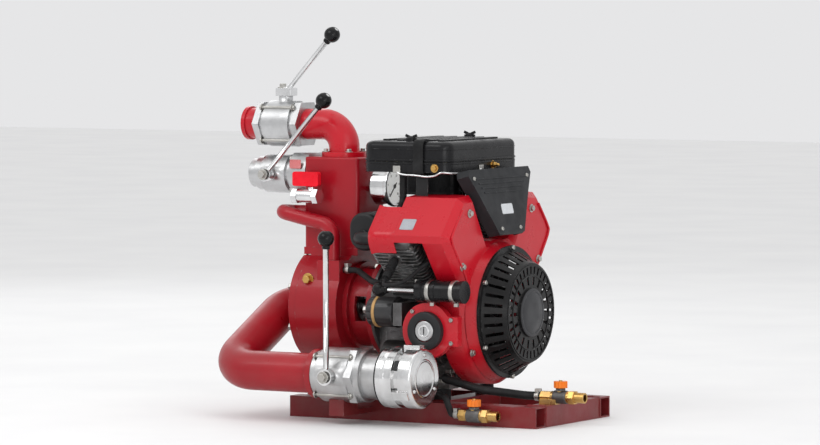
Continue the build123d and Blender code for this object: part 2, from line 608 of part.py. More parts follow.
def column():
    x0, x1 = COLUMN_X
    z0, z1 = COLUMN_Z
    wall = COLUMN_WALL
    box = block(x0, x1, -COLUMN_HALF_Y, COLUMN_HALF_Y, z0, z1)
    box = fillet(box.edges().filter_by(Axis.Z), 8)
    box = fillet(box.faces().sort_by(Axis.Z)[-1].edges(), 4)
    box -= block(x0 + wall, x1 - wall, -COLUMN_HALF_Y + wall, COLUMN_HALF_Y - wall, z0 - 1, z1 - wall)
    mid = (x0 + x1) / 2
    box -= rod_z(z1 - wall - 1, z1 + 1, mid, 0, MAIN_BORE_R)
    box -= rod_x(x0 - 1, x0 + wall + 1, 0, TANK_Z, TANK_BORE_R)
    box -= rod_x(x0 - 1, x0 + wall + 1, -22, 388, 10)
    box -= rod_x(x1 - wall - 1, x1 + 1, 0, 442, 4)
    box -= rod_y(-COLUMN_HALF_Y - 1, -COLUMN_HALF_Y + wall + 1, -262, 423, 5)
    node("discharge_column", box)
    elbow = pipe([(mid, 0, z1), (mid, 0, MAIN_Z), (MAIN_VALVE_X + MAIN_VALVE_HALF, 0, MAIN_Z)],
                 MAIN_PIPE_R, MAIN_BORE_R, [46])
    elbow += rod_z(z1, z1 + 9, mid, 0, 44) - rod_z(z1 - 1, z1 + 10, mid, 0, MAIN_BORE_R)
    stub = rod_x(OUTLET_X, MAIN_VALVE_X - MAIN_VALVE_HALF, 0, MAIN_Z, MAIN_PIPE_R)
    stub += rod_x(OUTLET_X, OUTLET_X + 8, 0, MAIN_Z, MAIN_PIPE_R + 3)
    stub -= rod_x(OUTLET_X - 1, MAIN_VALVE_X - MAIN_VALVE_HALF + 1, 0, MAIN_Z, OUTLET_BORE_R)
    node("discharge_pipes", elbow, stub)


def ball(place, r, bore_r, along):
    """A valve ball with its bore along X or Z."""
    hole = rod_x(-r, r, 0, 0, bore_r) if along == "x" else rod_z(-r, r, 0, 0, bore_r)
    return place * (Sphere(r) - hole)


def lever_rod(start, direction, length, rod_r, knob_r):
    """A straight rod with a ball knob on its end."""
    way = Vector(*direction).normalized()
    end = Vector(*start) + way * length
    rod = Solid.make_cylinder(rod_r, length, Plane(origin=start, z_dir=way))
    return rod + Pos(end.X, end.Y, end.Z) * Sphere(knob_r)


def main_valve():
    x, z, half = MAIN_VALVE_X, MAIN_Z, MAIN_VALVE_HALF
    body = rod_x(x - half, x + half, 0, z, 40) + rod_x(x - 30, x + 30, 0, z, 45)
    for s in (-1, 1):
        x0, x1 = sorted((x + s * half, x + s * (half - 14)))
        body += hex_x(x0, x1, 0, z, 84)
    body += rod_z(z + 40, z + 54, x, 0, 14)
    body -= rod_x(x - half - 1, x + half + 1, 0, z, MAIN_BORE_R)
    body -= Pos(x, 0, z) * Sphere(35 + CLEARANCE)
    body -= rod_z(z, z + 55, x, 0, 7 + RUNNING)
    node("discharge_valve", body)
    slot = block(x - 20, x + 20, -4, 4, z + 31, z + 40)
    node("discharge_ball", ball(Pos(x, 0, z), 35, MAIN_BORE_R, "x") - slot)
    lever = rod_z(z + 35.4, z + 72, x, 0, 7) + block(x - 5.8, x + 5.8, -3.6, 3.6, z + 31.4, z + 36)
    lever += block(x - 16, x + 18, -13, 13, z + 54.5, z + 70)
    lever += lever_rod((x + 2, 0, z + 64), (1, 0, 1.07), 152, 5, 15)
    node("discharge_lever", lever)


def tank_valve():
    x, z = TANK_VALVE_X, TANK_Z
    wall = COLUMN_X[0]
    body = rod_x(x - 45, wall, 0, z, 33) + rod_x(x - 28, x + 28, 0, z, 38)
    body += rod_x(wall - 38, wall, 0, z, 50) - block(wall - 39, wall + 1, -60, 60, z + 42, z + 60)
    body += rod_y(-52, -30, x, z, 13) + rod_x(x - 60, x - 45, 0, z, 28)
    body -= rod_x(x - 61, wall + 1, 0, z, TANK_BORE_R)
    body -= rod_x(x - 61, x - 45, 0, z, TANK_MOUTH_R)
    body -= Pos(x, 0, z) * Sphere(30 + CLEARANCE)
    body -= rod_y(-53, 0, x, z, 6 + RUNNING)
    node("tank_valve", body)
    slot = block(x - 20, x + 20, -36, -26, z - 3.7, z + 3.7)
    node("tank_ball", ball(Pos(x, 0, z), 30, TANK_BORE_R, "x") - slot)
    lever = rod_y(-72, -30.4, x, z, 6) + block(x - 4.6, x + 4.6, -31, -26.4, z - 3.4, z + 3.4)
    lever += rod_y(-68, -52.5, x, z, 14)
    lever += lever_rod((x, -62, z), (0.675, 0, 0.738), 198, 5, 15)
    node("tank_lever", lever)


def bypass():
    route = [(COLUMN_X[0], -22, 388), (COLUMN_X[0] - 40, -22, 388), (COLUMN_X[0] - 40, -80, 392),
             (-215, -80, 366), (-215, -80, 300)]
    line = pipe(route, 14, 10, [18, 24, 28])
    node("bypass_pipe", line)
    face = -COLUMN_HALF_Y
    cock = rod_x(-302, -244, -82, 423, 13) + rod_y(-82, face, -262, 423, 9) + rod_z(430, 440, -262, -82, 7)
    cock += hex_x(-302, -290, -82, 423, 28) + hex_x(-256, -244, -82, 423, 28)
    cock -= rod_x(-303, -262, -82, 423, 7) + rod_y(-82, face + 1, -262, 423, 5)
    cock -= rod_z(424, 441, -262, -82, 3 + RUNNING)
    node("bypass_cock", cock)
    grip = extrude(Plane.XZ.offset(88) * Pos(-273, 456) * RectangleRounded(58, 28, 5), amount=-12)
    node("bypass_lever", grip + rod_z(426, 444, -262, -82, 3))


def gauge():
    x0 = COLUMN_X[1]
    case = rod_x(x0, -150, 0, 442, 7) + hex_x(x0, x0 + 8, 0, 442, 22)
    drum = rod_x(-158, -121, 0, 442, 36) + rod_x(-128, -121, 0, 442, 39)
    drum = drum - rod_x(-126, -120, 0, 442, 34)
    case += drum + rod_x(-127, -123, 0, 442, 2)
    node("gauge_case", case)
    needle = rod_x(-122.9, -121.8, 0, 0, 4) + block(-122.9, -121.9, -1.2, 1.2, -28, 9)
    node("gauge_needle", Pos(0, 0, 442) * Rot(-45, 0, 0) * needle)


def suction():
    x, half = SUCTION_VALVE_X, SUCTION_VALVE_HALF
    start = VOLUTE_X[0] - 34
    route = [(start, 0, CRANK_Z), (start - 48, 0, CRANK_Z), (start - 48, SUCTION_Y, SUCTION_Z),
             (x - half, SUCTION_Y, SUCTION_Z)]
    line = pipe(route, SUCTION_R, SUCTION_BORE_R, [46, 62])
    line += rod_x(x - half - 12, x - half, SUCTION_Y, SUCTION_Z, 47) \
        - rod_x(x - half - 13, x - half + 1, SUCTION_Y, SUCTION_Z, SUCTION_BORE_R)
    node("suction_pipe", line.solids().sort_by(SortBy.VOLUME)[-1])
    y, z = SUCTION_Y, SUCTION_Z
    body = rod_x(x - half, x + half, y, z, 46) + rod_x(x - 34, x + 34, y, z, SUCTION_BODY_R)
    body += rod_y(y - 56, y - 40, x, z, 15)
    body += rod_x(x + half, 55, y, z, 43) + hex_x(x + half - 16, x + half, y, z, 100)
    body += rod_x(x + half, x + half + 12, y, z, 50)
    body -= rod_x(x - half - 1, 56, y, z, SUCTION_BORE_R)
    body -= Pos(x, y, z) * Sphere(44 + CLEARANCE)
    body -= rod_y(y - 57, y, x, z, 8 + RUNNING)
    node("suction_valve", body)
    slot = block(x - 20, x + 20, y - 50, y - 40, z - 4, z + 4)
    node("suction_ball", ball(Pos(x, y, z), 44, SUCTION_BORE_R - 4, "z") - slot)
    lever = rod_y(y - 76, y - 44.4, x, z, 8) + block(x - 6.8, x + 6.8, y - 45, y - 40.4, z - 3.6, z + 3.6)
    lever += rod_y(y - 72, y - 56.5, x, z, 16)
    lever += lever_rod((x, y - 64, z), (0, 0, 1), 262, 5.5, 15)
    node("suction_lever", lever)
    x0, x1 = CAP_X
    cap = rod_x(x0, x1, y, z, CAP_R)
    cap = fillet(cap.faces().sort_by(Axis.X)[-1].edges(), 6)
    cap -= rod_x(x0 - 1, x1 - 14, y, z, 43.6)
    cap -= rod_x(x0 + 34, x0 + 48, y, z, CAP_R + 1) - rod_x(x0 + 34, x0 + 48, y, z, CAP_R - 6)
    for turn in turns(3, 90):
        cap += Pos(0, y, z) * Rot(turn, 0, 0) * block(x0 + 36, x1 - 6, CAP_R - 7, CAP_R + 5, -9, 9)
    node("suction_cap", cap)


def drains():
    bodies = []
    for x, y, z, name in ((150, -172, 22, "drain_knob_pump"), (275, -60, 54, "drain_knob_engine")):
        body = rod_x(x - 18, x + 20, y, z, 11) + hex_x(x - 30 if y < -100 else x - 40, x - 18, y, z, 20)
        body += hex_x(x + 20, x + 32, y, z, 24) + rod_x(x + 32, x + 52, y, z, 10) + rod_z(z, z + 17, x, y, 8)
        body -= rod_x(x + 21, x + 53, y, z, 7)
        body -= rod_z(z + 4, z + 18, x, y, 3 + RUNNING)
        if y < -100:
            body += block(x - 12, x + 12, y, -RAIL_Y - TUBE / 2, z - 4, z + 4)
            body -= rod_z(z + 4, z + 18, x, y, 3 + RUNNING)
        else:
            body += block(x - 40, SKID_LENGTH / 2, y - 12, y + 12, TUBE, z - 4)
        bodies.append(body)
        knob = rod_z(z + 6, z + 18, x, y, 3) + rod_z(z + 17.5, z + 30, x, y, 13)
        for dx, dy in ring_of(8, 14.5):
            knob -= rod_z(z + 17, z + 31, x + dx, y + dy, 3)
        node(name, knob)
    node("drain_valves", *bodies)


def machine_screws():
    bolts = []
    for dy, dz in ring_of(8, 102, 22.5):
        bolts.append(hex_x(VOLUTE_X[0] - 22, VOLUTE_X[0] - 15, dy, CRANK_Z + dz, 13))
    for dy, dz in ring_of(6, 92):
        bolts.append(hex_x(PTO_X - 17, PTO_X - 10, dy, CRANK_Z + dz, 13))
    for dy, dz in ring_of(6, 123.5, 30):
        bolts.append(rod_x(RING_X + 5, RING_X + 9, dy, CRANK_Z + dz, 4.5))
    for side in BANK_X:
        for dx in (-41, 41):
            for dy in (-41, 41):
                place = bank(side) * Pos(dx, dy, HEAD_TOP + 4)
                bolts.append(place * extrude(RegularPolygon(4, 6), amount=5))
    return bolts


skid()
frame_bolts = isolators()
crankcase()
dipstick()
pto_cover()
bearings()
crankshaft()
cylinders()
heads()
spark_plugs()
pistons()
fan_shroud()
fan_guard()
flywheel()
front_cover()
intake()
air_cleaner()
exhaust()
starter()
control_housing()
primer()
hoses()
bell_adapter()
volute()
impeller()
column()
main_valve()
tank_valve()
bypass()
gauge()
suction()
drains()
node("fasteners", *frame_bolts, *machine_screws())

for name, shape in NODES.items():
    shape.label = name
    export_step(shape, f"parts/{name}.step")
print(len(NODES), "nodes")
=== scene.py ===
import bpy
import bmesh
from math import cos, sin, pi, radians
from mathutils import Vector, Matrix


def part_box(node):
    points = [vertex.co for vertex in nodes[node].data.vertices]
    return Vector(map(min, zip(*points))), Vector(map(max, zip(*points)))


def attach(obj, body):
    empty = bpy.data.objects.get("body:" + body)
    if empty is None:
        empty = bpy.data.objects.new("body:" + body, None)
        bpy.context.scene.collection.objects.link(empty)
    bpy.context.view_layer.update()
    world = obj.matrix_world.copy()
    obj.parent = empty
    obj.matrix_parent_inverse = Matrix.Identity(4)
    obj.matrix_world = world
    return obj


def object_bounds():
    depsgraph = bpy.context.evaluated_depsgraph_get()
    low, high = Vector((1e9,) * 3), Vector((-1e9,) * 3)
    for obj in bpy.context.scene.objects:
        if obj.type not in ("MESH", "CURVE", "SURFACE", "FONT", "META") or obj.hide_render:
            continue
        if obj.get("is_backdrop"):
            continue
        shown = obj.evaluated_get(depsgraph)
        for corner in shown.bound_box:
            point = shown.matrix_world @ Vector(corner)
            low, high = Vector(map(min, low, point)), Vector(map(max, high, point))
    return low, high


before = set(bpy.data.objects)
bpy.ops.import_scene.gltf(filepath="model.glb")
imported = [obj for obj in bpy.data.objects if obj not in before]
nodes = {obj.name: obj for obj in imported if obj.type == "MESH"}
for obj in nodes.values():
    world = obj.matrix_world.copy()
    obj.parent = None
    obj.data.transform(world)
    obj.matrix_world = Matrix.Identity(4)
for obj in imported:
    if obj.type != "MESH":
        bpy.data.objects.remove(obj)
cad_low, cad_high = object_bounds()
MM = 0.001

# how strongly a surface mirrors head on: low, so that pale surroundings don't veil dark colours
PAINT_SPECULAR, PLASTIC_SPECULAR, RUBBER_SPECULAR = 0.32, 0.2, 0.22
ROAD_DUST = (0.20, 0.15, 0.12)
BARE_EDGE = (0.33, 0.31, 0.30)
EDGE_ROUND, WEAR_ROUND = 0.0012, 0.0022  # metres


# ---- material tools
def new_material(name):
    """A fresh material, its node tree and its main shader."""
    mat = bpy.data.materials.new(name)
    mat.use_nodes = True
    tree = mat.node_tree
    shader = tree.nodes["Principled BSDF"]
    shader.inputs["Specular IOR Level"].default_value = PAINT_SPECULAR
    return mat, tree, shader


def add(tree, kind, **values):
    """A node whose inputs are set by name, with underscores for spaces."""
    made = tree.nodes.new(kind)
    for key, value in values.items():
        made.inputs[key.replace("_", " ")].default_value = value
    return made


def position(tree):
    """The place of a point in the object's own space."""
    return tree.nodes.new("ShaderNodeTexCoord").outputs["Object"]


def noise(tree, scale, detail=4.0, rough=0.5, stretch=None):
    """Noise over the object's own space, stretched along an axis when asked."""
    made = add(tree, "ShaderNodeTexNoise", Scale=scale, Detail=detail, Roughness=rough)
    if stretch:
        mapping = add(tree, "ShaderNodeMapping", Scale=stretch)
        tree.links.new(position(tree), mapping.inputs["Vector"])
        tree.links.new(mapping.outputs["Vector"], made.inputs["Vector"])
    else:
        tree.links.new(position(tree), made.inputs["Vector"])
    return made.outputs["Fac"]


def ramp(tree, source, stops):
    """A colour ramp; stops are (place, colour or grey)."""
    made = tree.nodes.new("ShaderNodeValToRGB")
    points = made.color_ramp.elements
    while len(points) < len(stops):
        points.new(0.5)
    for point, (place, value) in zip(points, stops):
        point.position = place
        point.color = (value, value, value, 1) if isinstance(value, (int, float)) else (*value, 1)
    tree.links.new(source, made.inputs["Fac"])
    return made.outputs["Color"]


def vary(tree, shader, name, stops, scale, detail=4.0, rough=0.5):
    """Let noise drive one of the shader's inputs, through a ramp."""
    tree.links.new(ramp(tree, noise(tree, scale, detail, rough), stops), shader.inputs[name])


def blend_colour(tree, amount, first, second):
    """first where amount is 0 and second where it is 1; both may be colours or sockets."""
    made = tree.nodes.new("ShaderNodeMix")
    made.data_type = "RGBA"
    tree.links.new(amount, made.inputs["Factor"])
    for key, value in (("A", first), ("B", second)):
        socket = [s for s in made.inputs if s.name == key and s.type == "RGBA"][0]
        if isinstance(value, tuple):
            socket.default_value = (*value, 1)
        else:
            tree.links.new(value, socket)
    return [s for s in made.outputs if s.type == "RGBA"][0]


def maths(tree, what, a, b):
    """One sum on two numbers or sockets, kept between 0 and 1."""
    made = tree.nodes.new("ShaderNodeMath")
    made.operation = what
    made.use_clamp = True
    for socket, value in zip(made.inputs, (a, b)):
        if isinstance(value, (int, float)):
            socket.default_value = value
        else:
            tree.links.new(value, socket)
    return made.outputs[0]


def bump(tree, shader, height, strength, distance, below=None):
    """Relief on the shader's normal, over another bump when below is given."""
    made = add(tree, "ShaderNodeBump", Strength=strength, Distance=distance)
    tree.links.new(height, made.inputs["Height"])
    tree.links.new(below or round_normal(tree), made.inputs["Normal"])
    tree.links.new(made.outputs["Normal"], shader.inputs["Normal"])
    return made.outputs["Normal"]


def round_normal(tree, radius=EDGE_ROUND):
    """Normals that run round sharp edges, as a cast or deburred edge catches the light."""
    return add(tree, "ShaderNodeBevel", Radius=radius).outputs["Normal"]


def edge_wear(tree, amount=0.5):
    """High along edges, where rounded and true normals part, broken up by noise."""
    apart = tree.nodes.new("ShaderNodeVectorMath")
    apart.operation = "DOT_PRODUCT"
    tree.links.new(round_normal(tree, WEAR_ROUND), apart.inputs[0])
    tree.links.new(tree.nodes.new("ShaderNodeNewGeometry").outputs["Normal"], apart.inputs[1])
    edge = ramp(tree, apart.outputs["Value"], [(0.86, 1.0), (0.985, 0.0)])
    patch = ramp(tree, noise(tree, 90, 6, 0.65), [(0.62 - 0.2 * amount, 0.0), (0.72, 1.0)])
    return maths(tree, "MULTIPLY", edge, patch)


def low_dirt(tree, top, strength):
    """Dust that thickens towards the deck, in patches."""
    apart = tree.nodes.new("ShaderNodeSeparateXYZ")
    tree.links.new(position(tree), apart.inputs[0])
    fall = maths(tree, "SUBTRACT", 1.0, maths(tree, "DIVIDE", apart.outputs["Z"], top))
    cloud = ramp(tree, noise(tree, 26, 7, 0.62), [(0.35, 0.15), (0.7, 1.0)])
    return maths(tree, "MULTIPLY", maths(tree, "MULTIPLY", fall, cloud), strength)


def paint(name, colour, deep, rough=0.28, coat=0.6, peel=0.12, dirt=0.35, wear=0.4):
    """Sprayed enamel: orange peel, slow tone drift, chipped edges and road dust."""
    mat, tree, shader = new_material(name)
    drift = ramp(tree, noise(tree, 7, 5), [(0.3, deep), (0.72, colour)])
    dusty = blend_colour(tree, low_dirt(tree, 0.34, dirt), drift, ROAD_DUST)
    worn = blend_colour(tree, edge_wear(tree, wear), dusty, BARE_EDGE)
    tree.links.new(worn, shader.inputs["Base Color"])
    vary(tree, shader, "Roughness", [(0.3, rough - 0.07), (0.75, rough + 0.14)], 38, 6, 0.6)
    shader.inputs["Coat Weight"].default_value = coat
    shader.inputs["Coat Roughness"].default_value = 0.08
    fine = bump(tree, shader, noise(tree, 420, 3, 0.5), peel, 0.0006)
    bump(tree, shader, noise(tree, 60, 2, 0.4), peel, 0.0012, fine)
    return mat


def cast_metal(name, colour, dark, rough=0.5, grain=700, depth=0.3, metallic=0.9):
    """Sand-cast or blasted metal with a pitted skin."""
    mat, tree, shader = new_material(name)
    tone = ramp(tree, noise(tree, 34, 8, 0.66), [(0.3, dark), (0.68, colour)])
    grime = blend_colour(tree, low_dirt(tree, 0.30, 0.55), tone, (0.10, 0.085, 0.07))
    bright = blend_colour(tree, edge_wear(tree, 0.7), grime, (0.75, 0.75, 0.76))
    tree.links.new(bright, shader.inputs["Base Color"])
    shader.inputs["Metallic"].default_value = metallic
    vary(tree, shader, "Roughness", [(0.3, rough - 0.12), (0.7, rough + 0.15)], 90, 6)
    pits = bump(tree, shader, noise(tree, grain, 4, 0.6), depth, 0.0006)
    bump(tree, shader, noise(tree, 130, 3, 0.5), depth * 0.6, 0.001, pits)
    return mat


def turned_metal(name, colour, rough=0.16, lines=(60, 900, 900), smudge=0.5):
    """Machined and polished metal: fine tool lines, handling marks and slow smudges."""
    mat, tree, shader = new_material(name)
    shade = tuple(0.72 * c for c in colour)
    tone = ramp(tree, noise(tree, 21, 7, 0.6), [(0.28, shade), (0.62, colour)])
    dull = blend_colour(tree, low_dirt(tree, 0.22, 0.35), tone, (0.22, 0.19, 0.16))
    tree.links.new(dull, shader.inputs["Base Color"])
    shader.inputs["Metallic"].default_value = 1.0
    vary(tree, shader, "Roughness", [(0.35, rough), (0.8, rough + 0.3 * smudge)], 55, 8, 0.7)
    fine = bump(tree, shader, noise(tree, 1.0, 2, 0.5, lines), 0.07, 0.0004)
    bump(tree, shader, noise(tree, 75, 3), 0.05, 0.001, fine)
    return mat


def plastic(name, colour, rough=0.5, grain=1500, depth=0.22, dirt=0.3):
    """Moulded plastic with a spark-eroded grain and a film of dust."""
    mat, tree, shader = new_material(name)
    light = tuple(min(1.0, c * 1.45 + 0.006) for c in colour)
    tone = ramp(tree, noise(tree, 15, 6, 0.6), [(0.3, colour), (0.75, light)])
    dusty = blend_colour(tree, low_dirt(tree, 0.5, dirt), tone, (0.16, 0.14, 0.12))
    scuffed = blend_colour(tree, edge_wear(tree, 0.25), dusty, (0.22, 0.22, 0.22))
    tree.links.new(scuffed, shader.inputs["Base Color"])
    vary(tree, shader, "Roughness", [(0.3, rough - 0.12), (0.75, rough + 0.12)], 48, 6)
    shader.inputs["Specular IOR Level"].default_value = PLASTIC_SPECULAR
    bump(tree, shader, noise(tree, grain, 2, 0.5), depth, 0.0003)
    return mat


def rubber(name, colour, rough=0.62, wrap=0.0):
    """Rubber with a faint bloom; wrap adds the cloth pattern of a wrapped hose."""
    mat, tree, shader = new_material(name)
    pale = tuple(c * 2.2 + 0.01 for c in colour)
    vary(tree, shader, "Base Color", [(0.4, colour), (0.85, pale)], 30, 8, 0.7)
    vary(tree, shader, "Roughness", [(0.3, rough - 0.1), (0.7, rough + 0.15)], 70, 5)
    shader.inputs["Specular IOR Level"].default_value = RUBBER_SPECULAR
    below = bump(tree, shader, noise(tree, 900, 3, 0.6), 0.25, 0.0004)
    if wrap:
        weave = add(tree, "ShaderNodeTexVoronoi", Scale=wrap)
        tree.links.new(position(tree), weave.inputs["Vector"])
        bump(tree, shader, weave.outputs["Distance"], 0.25, 0.0006, below)
    return mat


def label_material(name, colour, ink, bar=140.0):
    """A printed sticker: a pale ground with plain bars and a scuffed skin, and no lettering."""
    mat, tree, shader = new_material(name)
    lines = add(tree, "ShaderNodeTexWave", Scale=bar, Distortion=0.0, Detail=0.0)
    lines.wave_type, lines.bands_direction = "BANDS", "Z"
    tree.links.new(position(tree), lines.inputs["Vector"])
    print_mask = ramp(tree, lines.outputs["Fac"], [(0.80, 0.0), (0.86, 1.0)])
    faded = tuple(c * 0.82 for c in colour)
    ground = ramp(tree, noise(tree, 60, 6, 0.6), [(0.3, faded), (0.7, colour)])
    tree.links.new(blend_colour(tree, print_mask, ground, ink), shader.inputs["Base Color"])
    vary(tree, shader, "Roughness", [(0.3, 0.3), (0.7, 0.5)], 80)
    bump(tree, shader, noise(tree, 500, 2), 0.08, 0.0003)
    return mat


def dial_material():
    """A white enamelled dial, with a painted glow that stands in for the light its shaded case keeps off.
    """
    mat, tree, shader = new_material("dial_face")
    vary(tree, shader, "Base Color", [(0.3, (0.84, 0.84, 0.82)), (0.7, (0.90, 0.90, 0.89))], 60, 6, 0.6)
    vary(tree, shader, "Roughness", [(0.3, 0.25), (0.7, 0.4)], 80)
    # painted light: the dial gives off a faint white glow so it looks lit inside its shaded case
    shader.inputs["Emission Color"].default_value = (1.0, 1.0, 0.98, 1.0)
    shader.inputs["Emission Strength"].default_value = 0.42
    return mat


def glass_material():
    """A clear lens: a thin glossy skin, with faint smears, that what lies behind shows through."""
    mat, tree, shader = new_material("gauge_glass")
    shader.inputs["Alpha"].default_value = 0.07
    vary(tree, shader, "Roughness", [(0.4, 0.02), (0.8, 0.16)], 60, 5)
    vary(tree, shader, "Base Color", [(0.3, (0.80, 0.84, 0.83)), (0.7, (0.9, 0.92, 0.92))], 25)
    return mat


def paper_material():
    """Pleated filter paper, pale on the folds and darker between them: painted shade in the creases."""
    mat, tree, shader = new_material("pleated_paper")
    pleats = add(tree, "ShaderNodeTexWave", Scale=62.0, Distortion=0.4, Detail=1.0)
    pleats.bands_direction = "Y"
    tree.links.new(position(tree), pleats.inputs["Vector"])
    # painted shade: the paper darkens in the pleat valleys and stays pale on the crests, following the
    # pleat relief
    folds = ramp(tree, pleats.outputs["Fac"], [(0.1, (0.42, 0.34, 0.16)), (0.8, (0.80, 0.71, 0.44))])
    tree.links.new(folds, shader.inputs["Base Color"])
    vary(tree, shader, "Roughness", [(0.3, 0.8), (0.7, 0.95)], 200)
    bump(tree, shader, pleats.outputs["Fac"], 0.8, 0.003)
    return mat


M = {
    "red": paint("red_enamel", (0.55, 0.004, 0.016), (0.47, 0.003, 0.013),
                 0.3, 0.2, 0.08, 0.10, 0.3),
    "pump_red": paint("pump_red_enamel", (0.37, 0.003, 0.012), (0.28, 0.002, 0.009),
                      0.34, 0.15, 0.16, 0.10, 0.35),
    "dark_red": paint("skid_enamel", (0.21, 0.003, 0.009), (0.15, 0.003, 0.007),
                      0.40, 0.12, 0.2, 0.18, 0.5),
    "black_paint": paint("heat_black", (0.010, 0.010, 0.011), (0.006, 0.006, 0.007),
                         0.5, 0.1, 0.25, 0.2, 0.7),
    "grey_paint": paint("can_grey", (0.030, 0.031, 0.034), (0.02, 0.021, 0.023),
                        0.38, 0.3, 0.12, 0.2, 0.5),
    "cast": cast_metal("cast_aluminium", (0.20, 0.20, 0.205), (0.09, 0.088, 0.086)),
    "fins": cast_metal("finned_casting", (0.30, 0.30, 0.30), (0.12, 0.118, 0.115), 0.45),
    "iron": cast_metal("cast_iron", (0.06, 0.06, 0.064), (0.03, 0.03, 0.032), 0.55, 500, 0.4, 0.8),
    "body": turned_metal("tumbled_aluminium", (0.60, 0.605, 0.61), 0.28, (400, 400, 400), 0.8),
    "bright": turned_metal("polished_aluminium", (0.80, 0.805, 0.81), 0.12, (900, 120, 120), 0.5),
    "chrome": turned_metal("chrome_plate", (0.78, 0.785, 0.79), 0.08, (300, 300, 300), 0.35),
    "zinc": turned_metal("zinc_plate", (0.52, 0.51, 0.48), 0.28, (500, 500, 500), 0.7),
    "steel": turned_metal("ground_steel", (0.45, 0.45, 0.45), 0.22, (900, 60, 60), 0.6),
    "brass": turned_metal("brass", (0.66, 0.40, 0.12), 0.24, (900, 200, 200), 0.7),
    "bronze": turned_metal("bronze", (0.45, 0.29, 0.12), 0.32, (300, 300, 300), 0.7),
    "plastic": plastic("black_grain_plastic", (0.006, 0.006, 0.007), 0.28, dirt=0.05),
    "guard": plastic("guard_plastic", (0.004, 0.004, 0.0045), 0.32, 1100, 0.25, 0.04),
    "grey_plastic": plastic("grey_cap_plastic", (0.030, 0.031, 0.034), 0.42, 1300, 0.3, 0.06),
    "cover": plastic("cover_plastic", (0.014, 0.015, 0.017), 0.5, 1000, 0.35, 0.1),
    "knob": plastic("phenolic_knob", (0.004, 0.004, 0.0045), 0.16, 200, 0.05, 0.04),
    "orange": plastic("orange_knob", (0.85, 0.17, 0.006), 0.38, 900, 0.15, 0.2),
    "red_grip": plastic("red_vinyl", (0.68, 0.004, 0.016), 0.34, 260, 0.12, 0.1),
    "rubber": rubber("moulded_rubber", (0.008, 0.008, 0.0085)),
    "hose": rubber("wrapped_hose", (0.009, 0.009, 0.0095), 0.5, 700),
    "tan": rubber("tan_seal", (0.42, 0.25, 0.10), 0.55),
    "dial": dial_material(),
    "ink": plastic("dial_ink", (0.008, 0.008, 0.009), 0.5, 900, 0.05, 0.0),
    "white_label": label_material("white_label", (0.76, 0.78, 0.80), (0.36, 0.38, 0.41)),
    "silver_label": label_material("silver_label", (0.50, 0.52, 0.56), (0.12, 0.12, 0.14), 190.0),
    "red_label": label_material("red_label", (0.66, 0.06, 0.07), (0.78, 0.62, 0.60), 150.0),
    "glass": glass_material(),
    "paper": paper_material(),
}

# CAD node groups by finish
FINISHES = {
    "red": ("fan_shroud", "control_housing", "discharge_pipes"),
    "pump_red": ("pump_volute", "suction_cover", "discharge_column", "bell_adapter", "bypass_pipe",
                 "suction_pipe"),
    "dark_red": ("skid_rails", "skid_crossbars"),
    "black_paint": ("muffler", "starter_motor", "intake_manifold"),
    "grey_paint": ("oil_filter",),
    "cast": ("crankcase", "pto_cover", "carburettor"),
    "fins": ("cylinders", "cylinder_heads", "rocker_covers"),
    "iron": ("flywheel_fan",),
    "body": ("discharge_valve", "tank_valve", "suction_valve", "ignition_switch"),
    "bright": ("suction_cap", "piston_near", "piston_far"),
    "chrome": ("discharge_ball", "tank_ball", "suction_ball", "discharge_lever", "tank_lever",
               "suction_lever", "primer_plunger", "bypass_cock", "gauge_case"),
    "zinc": ("fasteners", "throttle_lever"),
    "steel": ("crankshaft", "main_bearings", "shaft_seal"),
    "bronze": ("impeller",),
    "brass": ("drain_valves",),
    "rubber": ("isolators", "plug_leads", "spark_plugs"),
    "hose": ("rubber_hoses",),
    "plastic": ("air_cleaner_base", "air_cleaner_lid", "primer_barrel"),
    "guard": ("fan_guard",),
    "cover": ("front_cover",),
    "orange": ("drain_knob_pump", "drain_knob_engine", "dipstick"),
    "red_grip": ("bypass_lever",),
    "ink": ("gauge_needle",),
    "paper": ("air_filter",),
}


def finish_nodes():
    """Give each CAD node its material, with its doubled vertices welded for smooth rounds."""
    for finish, names in FINISHES.items():
        for name in names:
            mesh = nodes[name].data
            mesh.materials.clear()
            mesh.materials.append(M[finish])
            weld = nodes[name].modifiers.new("weld", "WELD")
            weld.merge_threshold = 1e-5


finish_nodes()


# ---- building tools, all in millimetres
ALONG_X = Vector((1, 0, 0))
ALONG_Y = Vector((0, 1, 0))
UP = Vector((0, 0, 1))
CRANK = Vector((0, 0, 207))
SUCTION_Y, SUCTION_Z = -230, 93  # the line through the suction valve and its cap
PRIMER_Y, PRIMER_Z = -172, 254  # the hand primer's line
PUMP_COCK = Vector((150, -172, 22))
ENGINE_COCK = Vector((275, -60, 54))


def span(name):
    """A CAD node's lowest and highest corner, in millimetres."""
    low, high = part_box(name)
    return low / MM, high / MM


def aim(centre, axis):
    """The matrix that turns a shape's own Z to axis and puts its origin at centre."""
    return Matrix.Translation(Vector(centre)) @ Vector(axis).to_track_quat("Z", "Y").to_matrix().to_4x4()


def frame_at(x_way, y_way, z_way, place):
    """The matrix that lays a shape's own axes along three directions, at a place."""
    made = Matrix((x_way, y_way, z_way)).transposed().to_4x4()
    made.translation = place
    return made


def skin(bm, rings, last, around=True):
    """Faces between neighbouring rings of vertices, and from the last ring to the first when around."""
    for a, b in zip(rings, rings[1:] + rings[:1] * around):
        for k in range(last):
            n = (k + 1) % len(a)
            bm.faces.new((a[k], b[k], b[n], a[n]))


def capped_bar(bm, rings):
    """A closed bar through rings of vertices."""
    for a, b in zip(rings, rings[1:]):
        for k in range(len(a)):
            n = (k + 1) % len(a)
            bm.faces.new((a[k], a[n], b[n], b[k]))
    bm.faces.new(list(reversed(rings[0])))
    bm.faces.new(rings[-1])


